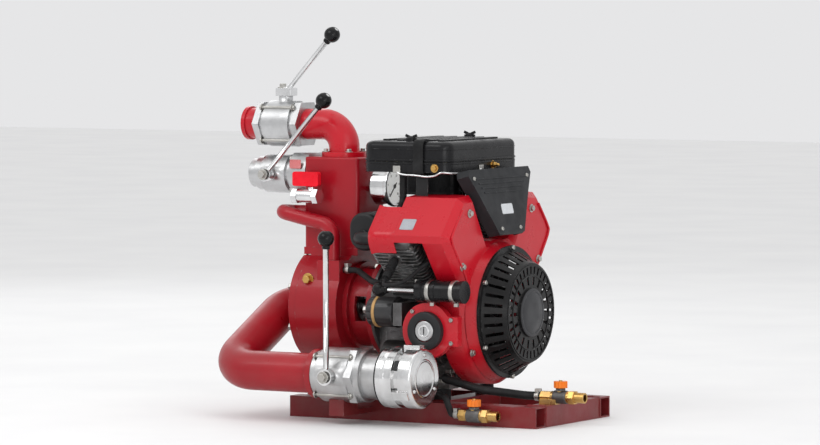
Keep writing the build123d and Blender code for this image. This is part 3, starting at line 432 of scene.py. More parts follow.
def lathe(bm, outline, centre, axis, segments, ridge=0.0):
    """Turn an outline of (radius, height) about an axis; ridge makes a knurl on what lies outside."""
    place = aim(centre, axis)
    widest = max(r for r, h in outline)
    rings = []
    for i in range(segments):
        turn = 2 * pi * i / segments
        ring = []
        for r, h in outline:
            cut = ridge if r > widest - 0.01 and i % 2 == 0 else 0.0
            ring.append(bm.verts.new(place @ Vector(((r - cut) * cos(turn), (r - cut) * sin(turn), h))))
        rings.append(ring)
    hollow = outline[0][0] > 0
    skin(bm, rings, len(outline) if hollow else len(outline) - 1)


def tube(bm, points, radius, sides, ripple=0.0):
    """A closed round bar along points, with a scalloped skin when ripple is given."""
    rings = []
    normal = None
    for i, point in enumerate(points):
        ahead = points[min(i + 1, len(points) - 1)] - points[max(i - 1, 0)]
        way = ahead.normalized()
        if normal is None:
            normal = way.orthogonal().normalized()
        normal = (normal - way * normal.dot(way)).normalized()
        across = way.cross(normal)
        r = radius * (1 + ripple * (i % 3 == 0))
        turns = [2 * pi * k / sides for k in range(sides)]
        rings.append([bm.verts.new(point + r * (normal * cos(t) + across * sin(t))) for t in turns])
    capped_bar(bm, rings)


def smooth_path(points, steps=8):
    """Points along a smooth curve that passes through every given point."""
    p = [Vector(q) for q in points]
    p = [2 * p[0] - p[1]] + p + [2 * p[-1] - p[-2]]
    made = []
    for a, b, c, d in zip(p, p[1:], p[2:], p[3:]):
        for i in range(steps):
            t = i / steps
            made.append(0.5 * (2 * b + (c - a) * t + (2 * a - 5 * b + 4 * c - d) * t * t
                               + (3 * b - a - 3 * c + d) * t ** 3))
    return made + [p[-2]]


def slab(bm, size, place):
    """A box of that size about the origin of a matrix."""
    made = bmesh.ops.create_cube(bm, size=1.0)
    bmesh.ops.transform(bm, matrix=place @ Matrix.Diagonal((*size, 1)), verts=made["verts"])


def hex_bolt(bm, place, axis, across, height, washer=True):
    """A hexagon head on its washer."""
    base = 1.6 if washer else 0.0
    if washer:
        lathe(bm, [(0, 0), (across * 0.82, 0), (across * 0.82, base), (0, base)], place, axis, 28)
    r = across / 2 / cos(pi / 6)
    top = base + height
    lathe(bm, [(0, base), (r, base), (r, base + height * 0.82), (r * 0.86, top), (0, top)], place, axis, 6)


def socket_screw(bm, place, axis, r, height):
    """A round-headed screw with a recess."""
    lathe(bm, [(0, -1), (r, -1), (r, height * 0.55), (r * 0.82, height), (r * 0.45, height),
               (r * 0.42, height * 0.4), (0, height * 0.4)], place, axis, 24)


def piece(name, bm, finish, body, edge=0.5, angle=32):
    """Turn a mesh in millimetres into a finished piece that rides on a body."""
    bmesh.ops.remove_doubles(bm, verts=bm.verts, dist=0.005)
    bmesh.ops.recalc_face_normals(bm, faces=bm.faces)
    bmesh.ops.scale(bm, vec=(MM, MM, MM), verts=bm.verts)
    mesh = bpy.data.meshes.new(name)
    bm.to_mesh(mesh)
    bm.free()
    mesh.shade_smooth()
    mesh.set_sharp_from_angle(angle=radians(angle))
    mesh.materials.append(M[finish])
    obj = bpy.data.objects.new(name, mesh)
    bpy.context.scene.collection.objects.link(obj)
    if edge:
        bevel = obj.modifiers.new("edge", "BEVEL")
        bevel.width = edge * MM
        bevel.segments = 2
        bevel.limit_method = "ANGLE"
        bevel.angle_limit = radians(angle)
        bevel.harden_normals = True
    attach(obj, body)


# ---- handles and knobs
def ball_knob(name, body, centre, away, r):
    """A moulded ball knob: a collar on the rod, a full round and a small flat at the end."""
    bm = bmesh.new()
    shell = r + 0.7
    outline = [(0, -shell - 4.5), (6.6, -shell - 4.5), (7.4, -shell - 3.4), (7.6, -shell + 1.6)]
    for i in range(1, 16):
        turn = -pi / 2 + radians(27) + (pi - radians(50)) * i / 15
        outline.append((shell * cos(turn), shell * sin(turn)))
    outline.append((0, shell * sin(pi / 2 - radians(23))))
    lathe(bm, outline, centre, away, 48)
    piece(name, bm, "knob", body, 0)


def knobs():
    """Ball knobs on the three valve levers and on the primer's rod."""
    r, primer_r = 15.0, 14.0
    for lever, away in (("discharge", Vector((1, 0, 1.07))), ("tank", Vector((0.675, 0, 0.738)))):
        low, high = span(f"{lever}_lever")
        ball_knob(f"{lever}_knob", f"{lever}_handle", (high.x - r, low.y + r, high.z - r), away, r)
    low, high = span("suction_lever")
    ball_knob("suction_knob", "suction_handle", ((low.x + high.x) / 2, low.y + r, high.z - r), UP, r)
    low, high = span("primer_plunger")
    centre = (low.x + primer_r, (low.y + high.y) / 2, (low.z + high.z) / 2)
    ball_knob("primer_knob", "primer_pull", centre, -ALONG_X, primer_r)


def lever_ends():
    """The nut and washer that hold each lever on its spindle."""
    low, high = span("discharge_valve")
    tank = span("tank_lever")[0]
    suction, far = span("suction_lever")
    for lever, place, axis, across, height in (
            ("discharge", ((low.x + high.x) / 2 - 7, 0, high.z + 16), UP, 13, 7),
            ("tank", (tank.x + 14, tank.y + 5, tank.z + 14), -ALONG_Y, 13, 6),
            ("suction", ((suction.x + far.x) / 2, suction.y + 3, suction.z + 16), -ALONG_Y, 14, 6)):
        bm = bmesh.new()
        hex_bolt(bm, place, axis, across, height)
        piece(f"{lever}_lever_nut", bm, "zinc", f"{lever}_handle")


# ---- pressure gauge
SCALE_START, SCALE_SWEEP = 225, 270  # degrees: from lower left, over the top, to lower right
MINOR_TICKS, TICKS_PER_NUMBER = 40, 8


def dial_point(centre, share, radius, x):
    """A place on the dial: share 0 is the low end of the scale and 1 the high end."""
    turn = radians(SCALE_START - SCALE_SWEEP * share)
    return Vector((x, centre.y + radius * cos(turn), centre.z + radius * sin(turn)))


def gauge():
    """The gauge's dial, ticks, numbers, bezel and lens, on its case."""
    low, high = span("gauge_case")
    centre = Vector((high.x, (low.y + high.y) / 2, (low.z + high.z) / 2))
    r = (high.z - low.z) / 2
    face = high.x - 4.9
    bm = bmesh.new()
    lathe(bm, [(2.6, 0), (r - 5.3, 0), (r - 5.3, 0.5), (2.6, 0.5)], (face, centre.y, centre.z), ALONG_X, 56)
    piece("gauge_dial", bm, "dial", "pump_set", 0)
    bm = bmesh.new()
    for i in range(MINOR_TICKS + 1):
        share = i / MINOR_TICKS
        long, wide = (4.6, 1.1) if i % TICKS_PER_NUMBER == 0 else (2.6, 0.5)
        mid = dial_point(centre, share, r - 7.2 - long / 2, face + 0.7)
        turn = Matrix.Rotation(radians(SCALE_START - SCALE_SWEEP * share), 4, "X")
        slab(bm, (0.35, long, wide), Matrix.Translation(mid) @ turn)
    piece("gauge_ticks", bm, "ink", "pump_set", 0)
    for i in range(6):
        text = bpy.data.curves.new(f"gauge_number_{i}", "FONT")
        text.body = str(4 * i)
        text.size = 6.4 * MM
        text.extrude = 0.12 * MM
        text.align_x = text.align_y = "CENTER"
        text.materials.append(M["ink"])
        obj = bpy.data.objects.new(text.name, text)
        bpy.context.scene.collection.objects.link(obj)
        at = dial_point(centre, i / 5, r - 17.0, face + 0.75) * MM
        obj.matrix_world = Matrix(((0, 0, 1, at.x), (1, 0, 0, at.y), (0, 1, 0, at.z), (0, 0, 0, 1)))
        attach(obj, "pump_set")
    bm = bmesh.new()
    lathe(bm, [(r - 4.9, -4), (r + 0.8, -4), (r + 1.0, -2), (r + 0.4, 1.0), (r - 1.4, 1.9), (r - 4.2, 1.2),
               (r - 4.9, 0.2)], (high.x, centre.y, centre.z), ALONG_X, 72)
    piece("gauge_bezel", bm, "chrome", "pump_set", 0, 50)
    bm = bmesh.new()
    lens = [(0, 0.2), (r - 5.1, -0.5), (r - 5.1, 0.3), (22, 0.8), (12, 1.15), (0, 1.3)]
    lathe(bm, lens, (high.x, centre.y, centre.z), ALONG_X, 72)
    piece("gauge_lens", bm, "glass", "pump_set", 0, 60)


knobs()
lever_ends()
gauge()


# ---- engine trim
def polar_x(x, radius, degrees):
    """A place on a circle round the crankshaft's line, as seen from the fan end."""
    return Vector((x, CRANK.y + radius * cos(radians(degrees)), CRANK.z + radius * sin(radians(degrees))))


def guard_trim():
    """The fan guard's centre cap, two raised ribs and its screws."""
    low, high = span("fan_guard")
    face = high.x
    bm = bmesh.new()
    cap = [(0, -0.6), (46.0, -0.6), (46.6, 0.6), (45.4, 1.5), (41.5, 1.7), (40.8, 1.1), (39.0, 1.1),
           (38.2, 1.8), (20, 2.3), (0, 2.5)]
    lathe(bm, cap, (face, 0, CRANK.z), ALONG_X, 72)
    piece("guard_cap", bm, "grey_plastic", "pump_set", 0, 40)
    for name, radius in (("guard_rib_inner", 71.2), ("guard_rib_outer", 90.5)):
        bm = bmesh.new()
        outline = [(radius - 1.6, -1.2), (radius + 1.6, -1.2), (radius + 1.2, 1.3), (radius - 1.2, 1.3)]
        lathe(bm, outline, (face - 3.0, 0, CRANK.z), ALONG_X, 96)
        piece(name, bm, "guard", "pump_set", 0.4)
    bm = bmesh.new()
    for i in range(6):
        at = polar_x(low.x + 9, 123.5, 30 + 60 * i)
        socket_screw(bm, at, ALONG_X, 4.8, 2.6)
    piece("guard_screws", bm, "zinc", "pump_set", 0.2)


def shroud_trim():
    """Screws round the fan housing, alike on both sides."""
    front = span("fan_shroud")[1].x - 18
    bm = bmesh.new()
    for half_wide, z in ((150, 300), (122, 400), (112, 135)):
        for y in (-half_wide, half_wide):
            hex_bolt(bm, (front, y, z), ALONG_X, 10, 5)
    piece("shroud_screws", bm, "zinc", "pump_set", 0.2)


def sticker(name, finish, corner, across, along):
    """A thin sticker from a corner, spread along two edges, lying on its surface."""
    thick = 0.5
    across, along = Vector(across), Vector(along)
    out = across.cross(along).normalized()
    middle = Vector(corner) + across / 2 + along / 2 + out * thick / 2
    place = frame_at(across.normalized(), along.normalized(), out, middle)
    bm = bmesh.new()
    slab(bm, (across.length, along.length, thick), place)
    upright = [e for e in bm.edges if abs((e.verts[0].co - e.verts[1].co).normalized().dot(out)) > 0.9]
    bmesh.ops.bevel(bm, geom=upright, offset=1.6, segments=3, affect="EDGES")
    piece(name, bm, finish, "pump_set", 0.1)


def cover_face():
    """The dark V cover's leaning face: its foot, the way up it and the way out of it."""
    foot, head = Vector((113, 0, 350)), Vector((82, 0, 476))
    lean = (head - foot).normalized()
    out = ALONG_Y.cross(lean)
    return foot + out * 26, lean, out


def stickers():
    """Plain stickers on the column, the tank valve, the shroud's shoulder and the V cover."""
    side = span("discharge_column")[1].x
    sticker("column_label", "white_label", (side, -24, 330), (0, 30, 0), (0, 0, 22))
    sticker("valve_label", "red_label", (-331, -50.4, 474), (26, 0, 0), (0, 0, 18))
    slope = Vector((0, 62, 70)).normalized()
    sticker("shroud_label", "silver_label", Vector((4, -212, 360)) + slope * 14,
            (30, 0, 0), slope * 26)
    base, lean = cover_face()[:2]
    sticker("cover_label", "white_label", base + lean * 40 + Vector((0, -22, 0)),
            (0, 44, 0), lean * 20)


def bezel():
    """The black ring round the ignition switch, the key barrel's bright boss, a dark slab painted as the
    shade in its slot, and screws.
    """
    low, high = span("ignition_switch")
    centre = ((low.x + high.x) / 2, low.y, (low.z + high.z) / 2)
    r = (high.x - low.x) / 2
    bm = bmesh.new()
    outline = [(r + 0.9, -1.0), (r + 3.5, 0.6), (r + 8, 1.2), (r + 13.5, 0.6), (r + 16.4, -1.2),
               (r + 16.9, -4), (r + 16.9, -19.6), (r + 15.7, -19.6), (r + 15.7, -4.3), (r + 0.9, -4.3)]
    lathe(bm, outline, centre, -ALONG_Y, 96, 0.45)
    piece("switch_bezel", bm, "cover", "pump_set", 0, 40)
    bm = bmesh.new()
    lathe(bm, [(8.2, 0), (12.6, 0), (12.2, 0.9), (9.0, 1.3), (8.2, 0.8)], centre, -ALONG_Y, 48)
    for i in range(4):
        turn = radians(45 + 90 * i)
        at = Vector(centre) + Vector((15.6 * cos(turn), 0, 15.6 * sin(turn)))
        lathe(bm, [(0, -0.4), (1.1, -0.4), (1.0, 0.5), (0, 0.6)], at, -ALONG_Y, 16)
    piece("switch_barrel", bm, "chrome", "switch", 0, 40)
    # painted shade: a thin black slab on the barrel's face stands in for the dark of the key slot
    bm = bmesh.new()
    slab(bm, (1.6, 0.9, 9.5), Matrix.Translation((centre[0], centre[1] + 0.1, centre[2])))
    piece("switch_keyway_painted_shade", bm, "ink", "switch", 0)
    bm = bmesh.new()
    for x, z in ((14, 214), (14, 142), (98, 200), (98, 156)):
        socket_screw(bm, (x, -168, z), -ALONG_Y, 4.5, 3.2)
    piece("control_screws", bm, "zinc", "pump_set", 0.2)


def filter_trim():
    """The seal and the rolled seam at the oil filter's ends."""
    low, high = span("oil_filter")
    r = (high.z - low.z) / 2
    y, z = (low.y + high.y) / 2, (low.z + high.z) / 2
    bm = bmesh.new()
    lathe(bm, [(r - 1.0, 0), (r + 1.1, 0), (r + 1.3, 1), (r + 1.3, 5), (r + 1.1, 6), (r - 1.0, 6)],
          (low.x + 16, y, z), ALONG_X, 64)
    piece("filter_band", bm, "tan", "pump_set", 0, 40)
    bm = bmesh.new()
    lathe(bm, [(r - 1.0, 0), (r + 1.0, 0.4), (r + 1.2, 2.0), (r + 1.0, 3.6), (r - 1.0, 4)],
          (high.x - 8, y, z), ALONG_X, 64)
    piece("filter_seam", bm, "grey_paint", "pump_set", 0, 60)


def cleaner_trim():
    """Wire bail, brass screws, wing nuts and the rubber strap of the air cleaner."""
    low, high = span("air_cleaner_lid")
    tray = span("air_cleaner_base")[0].z
    near, front = low.y, high.x
    z = tray - 4
    wire = [(-36, near + 6, z + 8), (-34, near - 3, z + 4), (-20, near - 4, z), (6, near - 4, z - 1),
            (30, near - 4, z - 3), (48, near - 4, z - 1), (62, near - 3, z + 5),
            (front + 1, near + 8, z + 4), (front + 4, near + 30, z + 3), (front + 4, near + 80, z + 3),
            (front + 4, -26, z + 5), (front + 2, -16, z + 9)]
    bm = bmesh.new()
    tube(bm, smooth_path(wire), 2.0, 14)
    piece("cleaner_bail", bm, "chrome", "pump_set", 0, 50)
    bm = bmesh.new()
    slab(bm, (16, 3, 13), Matrix.Translation((-36, near - 1.6, tray + 6)))
    slab(bm, (3, 16, 13), Matrix.Translation((front + 1.6, -14, tray + 6)))
    piece("bail_lugs", bm, "zinc", "pump_set", 0.6)
    bm = bmesh.new()
    stud = (front - 0.4, 34, tray + 11)
    hex_bolt(bm, stud, ALONG_X, 10, 7)
    lathe(bm, [(0, 8), (3, 8), (3, 14), (2.4, 15), (0, 15)], stud, ALONG_X, 20)
    hex_bolt(bm, (46, near + 0.4, tray + 9), -ALONG_Y, 10, 5)
    piece("cleaner_screws", bm, "brass", "pump_set", 0.3)
    for name, y in (("wing_nut_near", near + 26), ("wing_nut_far", -near - 26)):
        bm = bmesh.new()
        x, top = (low.x + high.x) / 2, high.z
        dome = [(0, -0.5), (8.5, -0.5), (8.2, 1.0), (5.4, 1.6), (4.6, 3.4), (0, 3.8)]
        lathe(bm, dome, (x, y, top), UP, 28)
        for side in (-1, 1):
            ear = Matrix.Translation((x + side * 8, y, top + 3.4)) @ Matrix.Rotation(-side * 0.38, 4, "Y")
            slab(bm, (10, 2.4, 5.5), ear)
        piece(name, bm, "plastic", "cleaner_lid", 0.9)
    x = 12
    strap = [(x, near + 22, low.z + 41), (x, near + 6, low.z + 41), (x, near - 3, low.z + 34),
             (x, near - 4, low.z + 8), (x, near - 4, low.z - 16), (x, near + 1, low.z - 24)]
    bm = bmesh.new()
    ribbon(bm, smooth_path(strap, 6), 22, 2.6, ALONG_X)
    piece("lid_strap", bm, "rubber", "cleaner_lid", 0.5)


def ribbon(bm, points, wide, thick, side):
    """A flat strap along points, wide along side."""
    rings = []
    for i, point in enumerate(points):
        ahead = (points[min(i + 1, len(points) - 1)] - points[max(i - 1, 0)]).normalized()
        out = ahead.cross(side).normalized()
        rings.append([bm.verts.new(point + side * (wide / 2) * a + out * (thick / 2) * b)
                      for a, b in ((-1, -1), (1, -1), (1, 1), (-1, 1))])
    capped_bar(bm, rings)


def bracket():
    """The pressed bracket that carries the air cleaner on the near cylinder head."""
    x, tray = 12, span("air_cleaner_base")[0].z
    bm = bmesh.new()
    path = [(x, -100, tray - 1.8), (x, -118, tray - 1.8), (x, -126, tray - 9), (x, -128, tray - 40),
            (x, -130, tray - 60), (x, -138, tray - 67)]
    ribbon(bm, smooth_path(path, 6), 26, 3.0, ALONG_X)
    piece("cleaner_bracket", bm, "black_paint", "pump_set", 0.6)


def clamp(bm, centre, axis, r):
    """A worm-drive hose clamp: a band with its screw housing."""
    outline = [(r, -4.5), (r + 0.9, -4.5), (r + 1.1, -3.6), (r + 1.1, 3.6), (r + 0.9, 4.5), (r, 4.5)]
    lathe(bm, outline, centre, axis, 40)
    place = aim(centre, axis)
    slab(bm, (6.5, 11, 8), place @ Matrix.Translation((0, r + 3.0, 0)) @ Matrix.Rotation(pi / 2, 4, "Z"))
    screw = place @ Matrix.Translation((7.5, r + 3.2, 0))
    head = [(0, 0), (3.2, 0), (3.2, 4.0), (2.7, 4.6), (0, 4.6)]
    lathe(bm, head, screw.translation, place.to_3x3() @ ALONG_X, 6)


def hose_clamps():
    """A clamp on each end of the pump drain, engine drain and primer lines."""
    thin, thick = 6.1, 8.1
    ends = (((-236, -86, 108), -ALONG_Y, thin), (PUMP_COCK - 38 * ALONG_X, ALONG_X, thin),
            ((46, -84, 84), -ALONG_Y, thick), (ENGINE_COCK - 49 * ALONG_X, ALONG_X, thick),
            ((22, -161, 262), ALONG_X, thin), ((-182, -80, 282), ALONG_X, thin))
    bm = bmesh.new()
    for centre, axis, r in ends:
        clamp(bm, centre, axis, r)
    piece("hose_clamps", bm, "zinc", "pump_set", 0.3)


def plug_boots():
    """Ribs on the spark plug boots, which stand across each leaning cylinder."""
    tilt, up_bore, off_bore = radians(45), 199, 50
    bm = bmesh.new()
    for side, x in ((-1, -20), (1, 4)):
        bore = Vector((0, side * sin(tilt), cos(tilt)))
        out = Vector((0, side * cos(tilt), -sin(tilt)))
        head = CRANK + Vector((x, 0, 0)) + bore * up_bore + out * off_bore
        for k in range(4):
            r = 9.6 - 0.35 * k
            rib = [(6, -1.2), (r, -0.9), (r + 0.4, 0), (r, 0.9), (6, 1.2)]
            lathe(bm, rib, head + out * (22 + 6.5 * k), out, 36)
    piece("boot_ribs", bm, "rubber", "pump_set", 0, 60)


# ---- pump trim
def flange_bolts(name, centre, axis, radius):
    """Four bolt heads on a flange, on its diagonals."""
    place = aim(centre, axis)
    bm = bmesh.new()
    for i in range(4):
        turn = radians(45) + 2 * pi * i / 4
        hex_bolt(bm, place @ Vector((radius * cos(turn), radius * sin(turn), 0)), axis, 9, 5)
    piece(name, bm, "zinc", "pump_set", 0.3)


def pump_trim():
    """Flange bolts, the tie rods of two ball valves, and the pump's brass plugs."""
    low, high = span("discharge_column")
    flange_bolts("elbow_bolts", ((low.x + high.x) / 2, 0, high.z + 9), UP, 37)
    flange_bolts("tank_flange_bolts", (low.x - 38, 0, 462), -ALONG_X, 43)
    for name, x0, x1, y, z, r in (("discharge_valve_ties", -404, -336, 0, 560, 45.5),
                                  ("suction_valve_ties", -140, -66, SUCTION_Y, SUCTION_Z, 51.5)):
        bm = bmesh.new()
        for turn in (45, 135, 225, 315):
            dy, dz = r * cos(radians(turn)), r * sin(radians(turn))
            ends = (Vector((x0, y + dy, z + dz)), Vector((x1, y + dy, z + dz)))
            tube(bm, list(ends), 3.2, 16)
            hex_bolt(bm, ends[0], -ALONG_X, 9, 4)
            hex_bolt(bm, ends[1], ALONG_X, 9, 4)
        piece(name, bm, "zinc", "pump_set", 0.3)
    bm = bmesh.new()
    hex_bolt(bm, (-260, -98, 262), -ALONG_Y, 15, 8)
    hex_bolt(bm, (-236, -60, 285), UP, 12, 6, False)
    piece("pump_plugs", bm, "brass", "pump_set", 0.4)


def cap_trim():
    """On the suction cap: a gasket at its mouth, a knurled band, dark slabs painted as the shade of its
    pockets, and a ring and screws.
    """
    low, high = span("suction_cap")
    y, z = SUCTION_Y, SUCTION_Z
    bm = bmesh.new()
    lathe(bm, [(44.2, 0), (56.4, 0), (56.9, 1.0), (56.9, 2.6), (56.4, 3.4), (44.2, 3.4)],
          (low.x - 3.5, y, z), ALONG_X, 80)
    piece("cap_gasket", bm, "rubber", "inlet_cap", 0, 50)
    bm = bmesh.new()
    lathe(bm, [(51.0, 0), (56.6, 0), (58.2, 1.0), (58.2, 10.0), (56.6, 11.2), (51.0, 11.2)],
          (low.x + 8, y, z), ALONG_X, 96, 0.5)
    piece("cap_band", bm, "bright", "inlet_cap", 0, 50)
    # painted shade: flat dark slabs laid on the cap stand in for the shadow inside its pockets
    bm = bmesh.new()
    for turn in (150, 210, 330, 30):
        a = radians(turn)
        at = (low.x + 41, y + 52.6 * cos(a), z + 52.6 * sin(a))
        slab(bm, (11, 3.0, 20), Matrix.Translation(at) @ Matrix.Rotation(a, 4, "X"))
    piece("cap_pocket_painted_shade", bm, "cover", "inlet_cap", 1.2)
    bm = bmesh.new()
    lathe(bm, [(0, 0), (31, 0), (32, 0.9), (36, 0.9), (37, 0), (38, 0), (38, -1), (0, -1)],
          (high.x - 0.1, y, z), ALONG_X, 72)
    for i in range(3):
        turn = radians(90 + 120 * i)
        at = Vector((high.x, y + 44 * cos(turn), z + 44 * sin(turn)))
        socket_screw(bm, at, ALONG_X, 3.6, 2.2)
    piece("cap_face_ring", bm, "chrome", "inlet_cap", 0.2, 50)


def skid_trim():
    """Scalloped weld beads where the crossbars meet the rails."""
    low, high = span("skid_crossbars")
    crossbars, top, beads = (-235, -75, 30, 250), 40.0, 24
    bm = bmesh.new()
    for x in crossbars:
        for y in (low.y, high.y):
            inward = 1.2 if y < 0 else -1.2
            runs = [((x - 19, y + inward, top - 0.2), (x + 19, y + inward, top - 0.2))]
            for side in (-20.4, 20.4):
                runs.append(((x + side, y + inward, 3), (x + side, y + inward, top - 2)))
            for a, b in runs:
                a, b = Vector(a), Vector(b)
                tube(bm, [a + (b - a) * i / beads for i in range(beads + 1)], 2.0, 10, 0.28)
    piece("weld_beads", bm, "dark_red", "pump_set", 0, 80)


def drain_trim():
    """Grey bodies and packing nuts on the two drain cocks, and the screws of their knobs."""
    bm = bmesh.new()
    for x, y, z in (PUMP_COCK, ENGINE_COCK):
        barrel = [(10.6, -13), (12.2, -13), (12.8, -10), (12.8, 12), (12.2, 15), (10.6, 15)]
        lathe(bm, barrel, (x, y, z), ALONG_X, 48)
        lathe(bm, [(8.1, 0), (10.4, 0), (10.4, 4), (9.6, 5), (8.1, 5)], (x, y, z + 11.8), UP, 6)
    piece("drain_collars", bm, "cast", "pump_set", 0.4, 50)
    for drain in ("pump", "engine"):
        low, high = span(f"drain_knob_{drain}")
        bm = bmesh.new()
        socket_screw(bm, ((low.x + high.x) / 2, (low.y + high.y) / 2, high.z), UP, 3.6, 2.0)
        piece(f"{drain}_drain_screw", bm, "brass", f"{drain}_drain_knob", 0.2)


def cover_trim():
    """Raised ribs and screws on the dark cover in the V of the engine."""
    base, lean, out = cover_face()
    bm = bmesh.new()
    for k in range(4):
        place = base + lean * (84 + 9 * k) + out * 0.3
        slab(bm, (150 + 14 * k, 3.2, 2.2), frame_at(ALONG_Y, lean, out, place))
    piece("cover_ribs", bm, "cover", "pump_set", 0.7)
    bm = bmesh.new()
    for y, up in ((-36, 12), (36, 12), (-104, 112), (104, 112)):
        socket_screw(bm, base + lean * up + ALONG_Y * y, out, 4.0, 2.6)
    piece("cover_screws", bm, "zinc", "pump_set", 0.2)


def primer_trim():
    """Two mounting bands with their feet, and a sealing gland, on the hand primer."""
    mouth = span("primer_barrel")[0].x
    y, z = PRIMER_Y, PRIMER_Z
    bm = bmesh.new()
    for x in (57, 109):
        hoop = [(19.8, -4), (21.6, -4), (21.9, -3), (21.9, 3), (21.6, 4), (19.8, 4)]
        lathe(bm, hoop, (x, y, z), ALONG_X, 64)
        slab(bm, (8, 7, 9), Matrix.Translation((x, y + 5, z - 24)))
    piece("primer_bands", bm, "zinc", "pump_set", 0.4, 50)
    bm = bmesh.new()
    lathe(bm, [(4.6, 0), (10, 0), (10, 5), (8.5, 7), (4.6, 7)], (mouth, y, z), -ALONG_X, 40)
    piece("primer_gland", bm, "knob", "pump_set", 0.4, 50)


def shell_strip(bm, section, x0, x1, thick, lip=0.0, steps=8):
    """Sheet metal: a (Y, Z) section swept along X, with ends that turn in by lip."""
    count = len(section)
    outward = []
    for i, (y, z) in enumerate(section):
        before = Vector(section[max(i - 1, 0)])
        after = Vector(section[min(i + 1, count - 1)])
        way = (after - before).normalized()
        outward.append(Vector((way.y, -way.x)))
    rows = []
    for k in range(steps + 1):
        share = k / steps
        x = x0 + (x1 - x0) * share
        sunk = lip * max(0.0, 1 - 4 * share) ** 2
        outer = [bm.verts.new((x, y - o.x * sunk, z - o.y * sunk)) for (y, z), o in zip(section, outward)]
        inner = [bm.verts.new((x, y - o.x * (sunk + thick), z - o.y * (sunk + thick)))
                 for (y, z), o in zip(section, outward)]
        rows.append(outer + list(reversed(inner)))
    skin(bm, rows, 2 * count, around=False)
    bm.faces.new(rows[0])
    bm.faces.new(list(reversed(rows[-1])))


def arc_section(points, radius=7.0, steps=5):
    """A (Y, Z) outline with its inner corners rounded."""
    made = [points[0]]
    for a, b, c in zip(points, points[1:], points[2:]):
        a, b, c = Vector(a), Vector(b), Vector(c)
        first = b + (a - b).normalized() * min(radius, (a - b).length / 2.2)
        last = b + (c - b).normalized() * min(radius, (c - b).length / 2.2)
        for i in range(steps + 1):
            t = i / steps
            made.append(tuple(first * (1 - t) ** 2 + b * 2 * t * (1 - t) + last * t * t))
    return made + [points[-1]]


def shroud_wings():
    """Wings that carry the air on over each cylinder head, a step below the hood, and its edge ridges."""
    section = [(-196, 326), (-207, 345), (-209.5, 360), (-188, 384), (-165, 410)]
    for name, side in (("shroud_wing_near", 1), ("shroud_wing_far", -1)):
        bm = bmesh.new()
        shell_strip(bm, arc_section(section), -56, -4, 2.4, 6.0)
        slope = Vector((0, 21.5, 24)).normalized()
        out = ALONG_X.cross(slope)
        for x in (-44, -20):
            place = Vector((x, -188, 384)) + slope * 2 + out * 0.6
            slab(bm, (5, 34, 2.6), frame_at(ALONG_X, slope, out, place))
        if side < 0:
            bmesh.ops.scale(bm, vec=(1, -1, 1), verts=bm.verts)
        piece(name, bm, "red", "pump_set", 0.8, 40)
    front = 113.2
    for name, side in (("shroud_ridge_near", -1), ("shroud_ridge_far", 1)):
        bm = bmesh.new()
        outline = ((126, 240), (131, 268), (166, 316), (190, 350), (186, 366), (150, 408))
        path = [(front, side * y, z) for y, z in outline]
        tube(bm, smooth_path(path, 10), 2.4, 12)
        piece(name, bm, "red", "pump_set", 0, 60)


def rounded_loop(centre_x, half_x, half_y, corner):
    """Places and outward directions round an upright rounded rectangle: (x, y, nx, ny)."""
    loop = []
    for cx, cy, start in ((1, 1, 0), (-1, 1, 90), (-1, -1, 180), (1, -1, 270)):
        for i in range(9):
            turn = radians(start + 90 * i / 8)
            loop.append((centre_x + cx * (half_x - corner) + corner * cos(turn),
                         cy * (half_y - corner) + corner * sin(turn), cos(turn), sin(turn)))
    return loop


def band(bm, loop, section):
    """A closed band round a loop, from a section of (how far out, height)."""
    rings = [[bm.verts.new((x + nx * out, y + ny * out, z)) for out, z in section] for x, y, nx, ny in loop]
    skin(bm, rings, len(section))


def lid_rim():
    """The stepped lips where the air cleaner's lid meets its tray, and the moulded skirt below the tray."""
    low, high = span("air_cleaner_lid")
    tray = span("air_cleaner_base")[0].z
    loop = rounded_loop((low.x + high.x) / 2, (high.x - low.x) / 2, (high.y - low.y) / 2, 24)
    for name, body, z, out, tall in (("lid_lip", "cleaner_lid", low.z + 3.2, 1.8, 4.4),
                                     ("tray_lip", "pump_set", low.z - 3.4, 1.2, 3.4),
                                     ("lid_step", "cleaner_lid", high.z - 21, 0.9, 2.6)):
        bm = bmesh.new()
        foot, head = z - tall / 2, z + tall / 2
        band(bm, loop, [(-1, foot), (out, foot + 0.5), (out, head - 0.5), (-1, head)])
        piece(name, bm, "plastic", body, 0.4, 40)
    bm = bmesh.new()
    carb_low, carb_high = span("carburettor")
    loop = rounded_loop((carb_low.x + carb_high.x) / 2 - 4, 57.5, 60, 14)
    foot, head = tray - 46, tray + 0.2
    band(bm, loop, [(0, foot), (1, foot + 1.5), (1, foot + 5), (0, foot + 6.5), (0, head), (-2.6, head),
                    (-2.6, foot)])
    piece("tray_skirt", bm, "plastic", "pump_set", 0.4, 40)


guard_trim()
shroud_trim()
shroud_wings()
lid_rim()
stickers()
bezel()
filter_trim()
cleaner_trim()
bracket()
hose_clamps()
plug_boots()
pump_trim()
cap_trim()
skid_trim()
drain_trim()
cover_trim()
primer_trim()


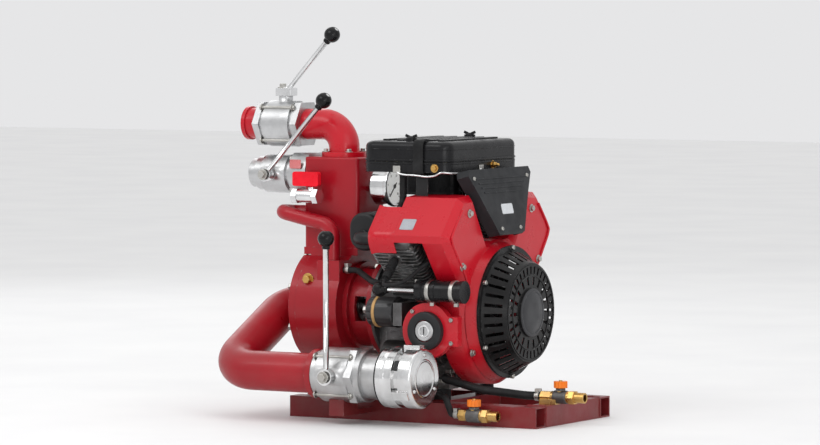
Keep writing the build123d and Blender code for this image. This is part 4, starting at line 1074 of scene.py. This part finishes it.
# ---- stage, light and camera
def stage():
    """A broad pale floor at the unit's lowest point."""
    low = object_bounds()[0]
    bm = bmesh.new()
    bmesh.ops.create_grid(bm, x_segments=4, y_segments=4, size=14)
    mesh = bpy.data.meshes.new("floor")
    bm.to_mesh(mesh)
    bm.free()
    mat, tree, shader = new_material("pale_floor")
    vary(tree, shader, "Base Color", [(0.3, (0.80, 0.80, 0.805)), (0.7, (0.84, 0.84, 0.84))], 3)
    shader.inputs["Roughness"].default_value = 0.7
    mesh.materials.append(mat)
    floor = bpy.data.objects.new("floor", mesh)
    floor.location = (0, 0, low.z)
    bpy.context.scene.collection.objects.link(floor)
    floor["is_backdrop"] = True


def area_light(name, place, target, size, power):
    """A white rectangular light at place, turned to target."""
    light = bpy.data.lights.new(name, "AREA")
    light.shape = "RECTANGLE"
    light.size, light.size_y = size
    light.energy = power
    obj = bpy.data.objects.new(name, light)
    obj.location = place
    obj.rotation_euler = (Vector(target) - Vector(place)).to_track_quat("-Z", "Y").to_euler()
    bpy.context.scene.collection.objects.link(obj)


def lights():
    """Broad lights round the unit, and a pale sky that brightens upwards."""
    middle = (cad_low + cad_high) / 2
    for name, away, size, power in (("key", (-1.2, -2.6, 2.6), (2.4, 1.6), 34),
                                    ("fill", (3.0, -1.6, 1.2), (2.2, 2.0), 14),
                                    ("top", (0.2, 0.4, 3.2), (3.0, 3.0), 14),
                                    ("rim", (-2.6, 2.4, 1.8), (1.8, 1.8), 14),
                                    ("front", (2.6, -2.9, 0.25), (1.6, 1.2), 16)):
        area_light(name, middle + Vector(away), middle, size, power)
    world = bpy.data.worlds.new("studio")
    world.use_nodes = True
    sky = world.node_tree
    back = sky.nodes["Background"]
    back.inputs["Strength"].default_value = 0.92
    place = sky.nodes.new("ShaderNodeTexCoord").outputs["Generated"]
    apart = sky.nodes.new("ShaderNodeSeparateXYZ")
    sky.links.new(place, apart.inputs[0])
    brightness = ramp(sky, apart.outputs["Z"], [(0.35, (0.86, 0.86, 0.87)), (0.7, (1.0, 1.0, 1.0))])
    sky.links.new(brightness, back.inputs["Color"])
    bpy.context.scene.world = world


def camera():
    """Seen from the operator's side and the fan end, a little above the deck, with a long lens."""
    turn, rise, away = radians(30), radians(3), 9.0
    data = bpy.data.cameras.new("camera")
    data.sensor_width = 36
    data.lens = 205
    back = Vector((sin(turn) * cos(rise), -cos(turn) * cos(rise), sin(rise)))
    obj = bpy.data.objects.new("camera", data)
    obj.location = (cad_low + cad_high) / 2 + back * away
    obj.rotation_euler = (-back).to_track_quat("-Z", "Y").to_euler()
    bpy.context.scene.collection.objects.link(obj)
    bpy.context.scene.camera = obj
    bpy.context.scene.view_settings.view_transform = "Standard"


stage()
lights()
camera()
